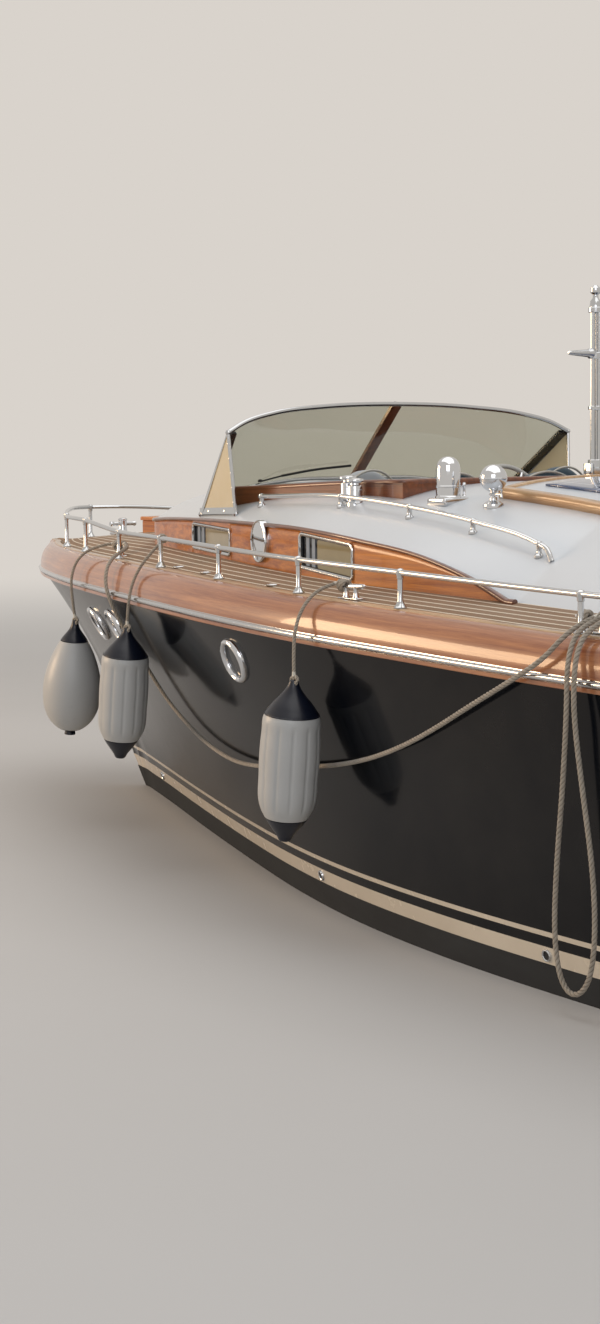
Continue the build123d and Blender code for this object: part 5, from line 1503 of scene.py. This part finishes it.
class BOAT_OT_windshield(bpy.types.Operator):
    """Bend the windshield: rails, centre post, corner posts, wings, glass and wiper"""
    bl_idname = "boat.windshield"
    bl_label = "Windshield"

    def execute(self, context):
        feet = np.array([on_roof(x, y, 0.010) for x, y in SHIELD_PLAN])
        head = np.array(SHIELD_TOP)
        top, sill = (curve(np.concatenate([(line * (1, -1, 1))[:0:-1], line]), 121) for line in (head, feet))
        wing = np.array(on_roof(*WING_PLAN, 0.010))
        glass = slab_between(sill + (0, 0, 0.006), top - (0, 0, 0.004), 0.006)
        put("shield_glass", glass, "glass", replaces=("windshield_glass",))
        rails = [tube(top, RAIL_R, 16), tube(sill + (0, 0, 0.003), RAIL_R, 16)]
        side = []
        for s in (1, -1):
            b, t, f = (p * (1, s, 1) for p in (feet[-1], head[-1], wing))
            way = (f - b) / np.linalg.norm(f - b)
            rails.append(tube(np.linspace(t, f, 12), 0.0095))
            foot, post = np.linspace(b, f, 12), np.linspace(b, t, 12)
            rails.append(slab_between(foot, foot + (0, 0, 0.034), 0.012))
            rails.append(slab_between(post, np.linspace(b + way * 0.034, t + way * 0.012, 12), 0.012))
            rails += [lathe(mm([(0, -14.5), (10, -10.5), (14.5, 0), (10, 10.5), (0, 14.5)]), p, sides=20)
                      for p in (b, t, f)]
            inboard = np.array((0.012, -s * 0.058, 0))
            side.append(slab_between(np.linspace(b, t, 14), np.linspace(b, t, 14) + inboard, 0.016))
            lean = np.array((0, 0, 0.014))
            for u in (0.25, 0.7):
                rails.append(lathe(mm([(6, 0), (5, 2.2), (0, 3)]), b + (f - b) * u + (0, s * 0.006, 0.017),
                                   (0, s, 0.2), 12))
            for u in np.linspace(0.14, 0.86, 5):
                rails.append(lathe(mm([(5.2, 0), (4.5, 3), (0, 5)]), t + (f - t) * u + (0, s * 0.008, 0),
                                   (0, s, 0.1), 12))
            corners = np.array([b + way * 0.01 + lean, t - lean, f - way * 0.01 + lean])
            normal = np.cross(corners[1] - corners[0], corners[2] - corners[0])
            normal *= 0.0025 / np.linalg.norm(normal)
            plate = with_ends(grid(np.stack([corners - normal, corners + normal]), round_columns=True), 3)
            # the wing pane's cream colour is a painted reflection of low sun
            put(f"shield_wing_{'port' if s > 0 else 'starboard'}", plate, "wing_glass")
        put("shield_rails", join(rails), "steel", replaces=("windshield_frame",))
        put("shield_corner_posts", join(side), "dark_steel")
        t = np.linspace(0, 1, 24)[:, None]
        spine = feet[0] * (1 - t) + head[0] * t
        ring = mm([(-12, -32), (-16, -22), (-18, 0), (-16, 22), (-12, 32), (10, 32), (12, 0), (10, -32)])
        lean = head[0] - feet[0]
        face = np.array((lean[2], 0, -lean[0])) / np.linalg.norm(lean)
        cover = mm([(-18, -12), (-21.5, -6), (-22.5, 0), (-21.5, 6), (-18, 12)])
        post, strip = (spine[:, None] - line[:, :1] * face + line[:, 1:] * (0, 1.0, 0) for line in (ring, cover))
        put("shield_centre_post", with_ends(grid(post, round_columns=True), 8), "dark_wood")
        strip = put("shield_centre_strip", grid(strip), "steel", closed=False)
        thicken(strip, 0.002)
        pivot = sill[97] + (-0.02, 0, 0.02)
        near, middle, far = (sill[k] * (1 - v) + top[k] * v + (-0.020, 0, 0)
                             for k, v in ((90, 0.09), (78, 0.13), (65, 0.18)))
        arm = curve([pivot, near + (-0.004, 0, 0), middle + (-0.006, 0, 0)], 20)
        blade = curve([near, middle, far], 20)
        cap = lathe(mm([(14, 0), (12, 12), (0, 16)]), pivot, sides=20)
        put("wiper", join([tube(arm, 0.0045, 8), tube(blade, 0.0065, 8), cap]), "rubber")
        return {"FINISHED"}


class BOAT_OT_cockpit(bpy.types.Operator):
    """Finish the cockpit's woodwork and add its edge beads and dials"""
    bl_idname = "boat.cockpit"
    bl_label = "Cockpit"

    def execute(self, context):
        # the cockpit boards and their beads take the darker mahogany, which is painted shade
        dress("board_wood", "mahogany", "cockpit_boards")
        dress("inside_wood", "mahogany", "bulkhead", "cabin_door", "dashboard")
        dress("sole", "teak", "cockpit_sole")
        dress("white", "seat_shell", "seat_bases")
        aft, fore, half = WELL
        top, low = COAMING
        side, back = half - 0.014, aft + 0.014
        path = [(fore, side, low), (fore - 0.4, side, 1.9575), (aft + 0.5, side, 1.979),
                (aft + 0.16, side, top - 0.003), (aft + 0.08, side, top - 0.002),
                (aft + 0.032, side - 0.014, top - 0.001)]
        path += [(back, y, top) for y in (side - 0.060, side - 0.13, side - 0.30, side - 0.6, 0)]
        line = curve(path, 160) + (0, 0, 0.002)
        put("board_beads", join([tube(line * (1, s, 1), 0.0155, 14) for s in (1, -1)]), "board_wood")
        bezel = mm([(40, 0), (40, 8), (36, 11), (32, 7), (0, 6)])
        dials = [lathe(bezel, (2.224, y, 1.884), (-0.75, 0, 0.66), 32) for y in DIALS]
        put("dial_bezels", join(dials), "chrome")
        return {"FINISHED"}


class BOAT_OT_upholstery(bpy.types.Operator):
    """Stuff the bench, its backs and the two front seats"""
    bl_idname = "boat.upholstery"
    bl_label = "Upholstery"

    def execute(self, context):
        def cushion(name, colour, *form, stands_for=()):
            """A padded piece of leather; its form is what pillow takes."""
            obj = put(name, pillow(*form), colour, replaces=stands_for, angle=180)

        def piping(name, line, thick, sides, capped=True):
            put(name, tube(line, thick, sides, capped), "piping")
        a = np.linspace(0, math.pi, 60)
        stands_for = ("seat_cushions",)
        for name, y, half in BENCH_SEATS:
            cushion(f"bench_cushion_{name}", "teal", (1.281, y, 1.385), (0.196, half, 0.0545), 0.22, 0.45,
                    stands_for=stands_for)
            stands_for = ()
            cushion(f"bench_back_{name}", "teal", (1.110, y, 1.735), (half, 0.293, 0.055), 0.25, 0.5, -0.06, True)
            arch = np.column_stack([1.105 - 0.018 * np.sin(a), y + (half + 0.001) * np.cos(a),
                                    1.735 + 0.292 * np.sin(a)])
            piping(f"bench_piping_{name}", arch, 0.006, 10)
            loop = rounded_line(0.392, 2 * half, 0.05) + (1.281, y)
            edge = np.column_stack([loop, 0 * loop[:, 0] + 1.388])
            piping(f"bench_welt_{name}", np.concatenate([edge, edge[:1]]), 0.0055, 8, False)
        for name, y, colour in FRONT_SEATS:
            cushion(f"front_cushion_{name}", "teal", (1.865, y, 1.430), (0.163, 0.237, 0.0495), 0.25, 0.45)
            cushion(f"front_back_{name}", colour, (1.705, y, 1.772), (0.218, 0.272, 0.052), 0.25, 0.5, -0.10, True)
            arch = np.column_stack([1.705 - 0.045 * np.sin(a), y + 0.219 * np.cos(a), 1.772 + 0.270 * np.sin(a)])
            piping(f"front_piping_{name}", arch, 0.006, 10)
        return {"FINISHED"}


class BOAT_OT_wheel(bpy.types.Operator):
    """Turn the steering wheel: round rim, three spokes and hub"""
    bl_idname = "boat.wheel"
    bl_label = "Wheel"

    def execute(self, context):
        axis = np.array((-math.sin(WHEEL_TILT), 0, math.cos(WHEEL_TILT)))
        across = np.array((math.cos(WHEEL_TILT), 0, math.sin(WHEEL_TILT)))
        side = np.array((0, 1.0, 0))
        centre = np.array(WHEEL)
        put("wheel_rim", hoop(centre, WHEEL_R, RIM_R, axis, 96, 16), "ivory",
            body="steering_wheel", replaces=("steering_wheel",))
        hub = mm([(10.3, -18), (38, -18), (40, -14), (40, 10), (36, 15), (30, 19), (12, 21), (0, 21.5)])
        shapes = [lathe(hub, centre, axis, 40)]
        for k in range(3):
            a = math.radians(90 + 120 * k)
            way = math.cos(a) * across + math.sin(a) * side
            t = np.linspace(0.03, WHEEL_R - 0.008, 20)
            shapes.append(tube(centre + t[:, None] * way + np.outer(0.006 * np.sin(t * 9), axis), 0.0085, 12))
        put("wheel_spokes", join(shapes), "chrome", body="steering_wheel")
        return {"FINISHED"}


class BOAT_OT_rails(bpy.types.Operator):
    """Run the deck rail on its turned posts"""
    bl_idname = "boat.rails"
    bl_label = "Deck rails"

    def execute(self, context):
        shapes = [tube(rail_line(), RAIL_R, 16)]
        for x in STANCHIONS:
            foot, h = sheer_post(x)
            shapes.append(lathe(post_profile(h, 0.028), foot, sides=20))
        z = deck_height(BOW_POST, 0.0)
        both_sides = pair(join(shapes))
        bow = lathe(post_profile(RAIL_BOW_Z - z, 0.030), (BOW_POST, 0, z), sides=24)
        put("deck_rail_tubes", join([both_sides, bow]), "steel", replaces=("deck_rails",))
        return {"FINISHED"}


class BOAT_OT_hardware(bpy.types.Operator):
    """Bolt down the cleats, the mooring post and the filler caps"""
    bl_idname = "boat.hardware"
    bl_label = "Deck hardware"

    def execute(self, context):
        shapes = [pair(horn_cleat(*cleat_place(x))) for x in CLEATS]
        x = BOLLARD_X
        z = deck_height(x, 0.0)
        post = mm([(34, 12), (30, 20), (27, 32), (26, 90), (30, 94), (30, 100), (22, 106), (0, 108)])
        shapes.append(lathe(post, (x, 0, z), sides=36))
        t = np.linspace(-1, 1, 31)
        bar = np.column_stack([0 * t + x, 0.095 * t, 0 * t + z + 0.070])
        shapes.append(tube(bar, 0.0135 + 0.004 * np.exp(-((np.abs(t) - 0.92) / 0.06) ** 2), 16))
        shapes.append(block((x, 0, z + 0.007), (0.070, 0.060, 0.008), 0.005))
        cap = mm([(34, -2), (34, 3), (31, 5.5), (28, 5.8), (27, 4.5), (20, 4.5), (19, 6), (0, 6.2)])
        for x in FILLERS:
            y = inner_edge(x) - 0.062
            shapes.append(pair(lathe(cap, (x, y, deck_height(x, y)), sides=32)))
        put("deck_hardware", join(shapes), "chrome", replaces=("deck_fittings",))
        return {"FINISHED"}


class BOAT_OT_portholes(bpy.types.Operator):
    """Ring the portholes and the outlets in the hull"""
    bl_idname = "boat.portholes"
    bl_label = "Portholes"

    def execute(self, context):
        ring = mm([(80, -4), (80, 6), (82, 13), (87, 20.5), (94, 24), (102, 22.5), (109, 16), (112.5, 6), (113, -12)])
        lens = mm([(86, 1.2), (60, 1.4), (30, 1.6), (0, 1.8)])
        rings, lenses, seals = [], [], []
        for x, z in PORTHOLES:
            place, out = hull_spot(x, z)
            rings.append(lathe(ring, place, out, 56))
            for k in range(6):
                a = math.radians(60 * k + 30)
                first = np.cross(out, (0, 0, 1.0))
                first /= np.linalg.norm(first)
                head = place + 0.097 * (math.cos(a) * first + math.sin(a) * np.cross(out, first)) + out * 0.0225
                rings.append(lathe(mm([(4.5, 0), (3.5, 1.2), (0, 1.5)]), head, out, 10))
            # the lenses are opaque near-black: painted shade of the cabin behind them
            lenses.append(lathe(lens, place, out, 48))
            seals.append(lathe(mm([(84.5, 0), (84.5, 8), (81.5, 8.5), (80, 2)]), place, out, 48))
        put("porthole_rings", pair(join(rings)), "chrome", replaces=("hull_fittings",))
        put("porthole_lenses", pair(join(lenses)), "shade_glass", closed=False,
            replaces=("porthole_glass",))
        put("porthole_seals", pair(join(seals)), "rubber", closed=False)
        rims, holes = [], []
        for x, z in OUTLETS:
            place, out = hull_spot(x, z)
            rims.append(lathe(mm([(18, 1), (18, 6), (21, 9), (24.5, 8), (26.2, 3), (26.2, -6)]), place, out, 28))
            holes.append(lathe(mm([(18.5, 2), (0, 2.2)]), place, out, 28))
        put("outlet_rims", join(rims), "chrome")
        put("outlet_hollows", join(holes), "rubber", closed=False)
        return {"FINISHED"}


class BOAT_OT_gear(bpy.types.Operator):
    """Make the running gear: shafts in their brackets, propellers and rudders"""
    bl_idname = "boat.gear"
    bl_label = "Running gear"

    def execute(self, context):
        ahead = np.array((math.cos(SHAFT_TILT), 0, math.sin(SHAFT_TILT)))
        shapes = []
        for s in (1, -1):
            place = np.array(PROP) * (1, s, 1)
            shapes.append(tube(place + np.outer(np.linspace(0.014, SHAFT_LENGTH, 40), ahead), SHAFT_R, 20))
            boss = mm([(22, 230), (34, 236), (38, 250), (38, 350), (34, 364), (22, 370)])
            shapes.append(lathe(boss, place, ahead, 32))
            head = place + ahead * 0.300
            for k in (-1, 1):
                t = np.linspace(0, 1, 16)[:, None]
                root = head * (1 - t) + np.array((head[0] + 0.040, head[1] + k * 0.110, -0.360)) * t
                a = full_turn(18)[None, :]
                web = np.stack([root[:, :1] + 0.030 * np.cos(a), root[:, 1:2] + 0.009 * np.sin(a),
                                root[:, 2:] + 0 * a], -1)
                shapes.append(with_ends(grid(web, round_columns=True), 18))
        put("shaft_lines", join(shapes), "bronze", replaces=("shafts",))
        hub = mm([(22.3, -80), (40, -80), (44, -30), (46, 0), (42, 60), (34, 80), (20, 92), (0, 96)])
        turn = facing(-ahead)
        for s, side in ((1, "port"), (-1, "starboard")):
            place = np.array(PROP) * (1, s, 1)
            parts = [lathe(hub, place, -ahead, 40)]
            for k in range(4):
                points, faces = screw_blade(math.pi / 2 * k)
                parts.append((points * (1, s, 1) @ turn.T + place, faces))
            put(f"screw_{side}", join(parts), "bronze", body=f"propeller_{side}",
                replaces=(f"propeller_{side}",))
            y = s * PROP[1]
            blade = foil(*RUDDER, 0.034, y, 0.02)
            stock = tube([(STOCK_X, y, z) for z in (-0.56, -0.37, -0.18)], STOCK_R, 24)
            put(f"rudder_blade_{side}", join([blade, stock]), "bronze", body=f"rudder_{side}",
                replaces=(f"rudder_{side}",))
        return {"FINISHED"}


class BOAT_OT_fenders(bpy.types.Operator):
    """Hang the fenders: one round, two ribbed, with navy ends"""
    bl_idname = "boat.fenders"
    bl_label = "Fenders"

    def execute(self, context):
        count = size("ribs")
        for tag, top, bottom, form, _, _ in FENDERS:
            axis = np.array(bottom) - np.array(top)
            length = float(np.linalg.norm(axis))
            plain = np.array(FENDER_FORMS[form][1:], float) * length / FENDER_FORMS[form][-1][1]
            run = travelled(plain)
            table = np.column_stack([run, plain])
            cone, foot = (length * share for share in FENDER_ENDS[form])

            def part(low, high, grow=0.0):
                s = np.linspace(0, run[-1], 220)
                r, h = through(table, 1, s), through(table, 2, s)
                keep = (h >= low - 1e-6) & (h <= high + 1e-6)
                return np.column_stack([np.maximum(r[keep] + grow, 0), h[keep]])

            def ribs(a, h):
                if form != "tube":
                    return 1.0 + 0 * a * h
                share = np.clip((h - cone - 0.03) / 0.03, 0, 1) * np.clip((foot - 0.035 - h) / 0.03, 0, 1)
                return 1 - 0.045 * share * (1 - np.abs(np.sin(a * count / 2)) ** 0.35)
            body = lathe(part(cone, foot), top, axis, 120, ribs)
            # the fender body's grey is partly painted shade
            put(f"fender_skin_{tag}", body, "vinyl", replaces=(f"fender_{tag}",), angle=60)
            upper = part(0, cone, 0.0008)
            upper[0, 0] = 0.012
            lower = part(foot, length, 0.0008)
            lower = np.concatenate([lower, [(0, lower[-1, 1])]])
            ends = [lathe(upper, top, axis, 64), lathe(lower, top, axis, 64)]
            if form == "tube":
                line = part(0, length)
                wide = np.interp(cone, line[:, 1], line[:, 0])
                ends.append(hoop(top + axis / length * cone, wide, 0.0035, axis, 72, 8))
            put(f"fender_ends_{tag}", join(ends), "navy_vinyl", angle=60)
        return {"FINISHED"}


CLASSES = (BoatPaints, BoatSizes, BOAT_OT_stage, BOAT_OT_lines, BOAT_OT_fenders, BOAT_OT_hull, BOAT_OT_edge,
           BOAT_OT_transom, BOAT_OT_deck, BOAT_OT_trunk, BOAT_OT_roof, BOAT_OT_skylight, BOAT_OT_fittings, BOAT_OT_lamp,
           BOAT_OT_mast, BOAT_OT_windshield, BOAT_OT_cockpit, BOAT_OT_upholstery, BOAT_OT_wheel, BOAT_OT_rails,
           BOAT_OT_hardware, BOAT_OT_portholes, BOAT_OT_gear)


class BOAT_PT_boat(bpy.types.Panel):
    """Sidebar panel with the boat's colours, sizes and pieces"""
    bl_idname = "BOAT_PT_boat"
    bl_label = "Classic Motor Boat"
    bl_space_type = "VIEW_3D"
    bl_region_type = "UI"
    bl_category = "Boat"

    def draw(self, context):
        layout = self.layout
        for group in (context.scene.boat_paints, context.scene.boat_sizes):
            for name in group.__annotations__:
                layout.prop(group, name)
        for kind in CLASSES[2:]:
            layout.operator(kind.bl_idname)


def register():
    for kind in (*CLASSES, BOAT_PT_boat):
        bpy.utils.register_class(kind)
    bpy.types.Scene.boat_paints = PointerProperty(type=BoatPaints)
    bpy.types.Scene.boat_sizes = PointerProperty(type=BoatSizes)


def unregister():
    del bpy.types.Scene.boat_sizes
    del bpy.types.Scene.boat_paints
    for kind in reversed((*CLASSES, BOAT_PT_boat)):
        bpy.utils.unregister_class(kind)


def main():
    """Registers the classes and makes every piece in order."""
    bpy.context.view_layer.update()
    register()
    for kind in CLASSES[2:]:
        group, name = kind.bl_idname.split(".")
        getattr(getattr(bpy.ops, group), name)()


if __name__ == "__main__":
    main()
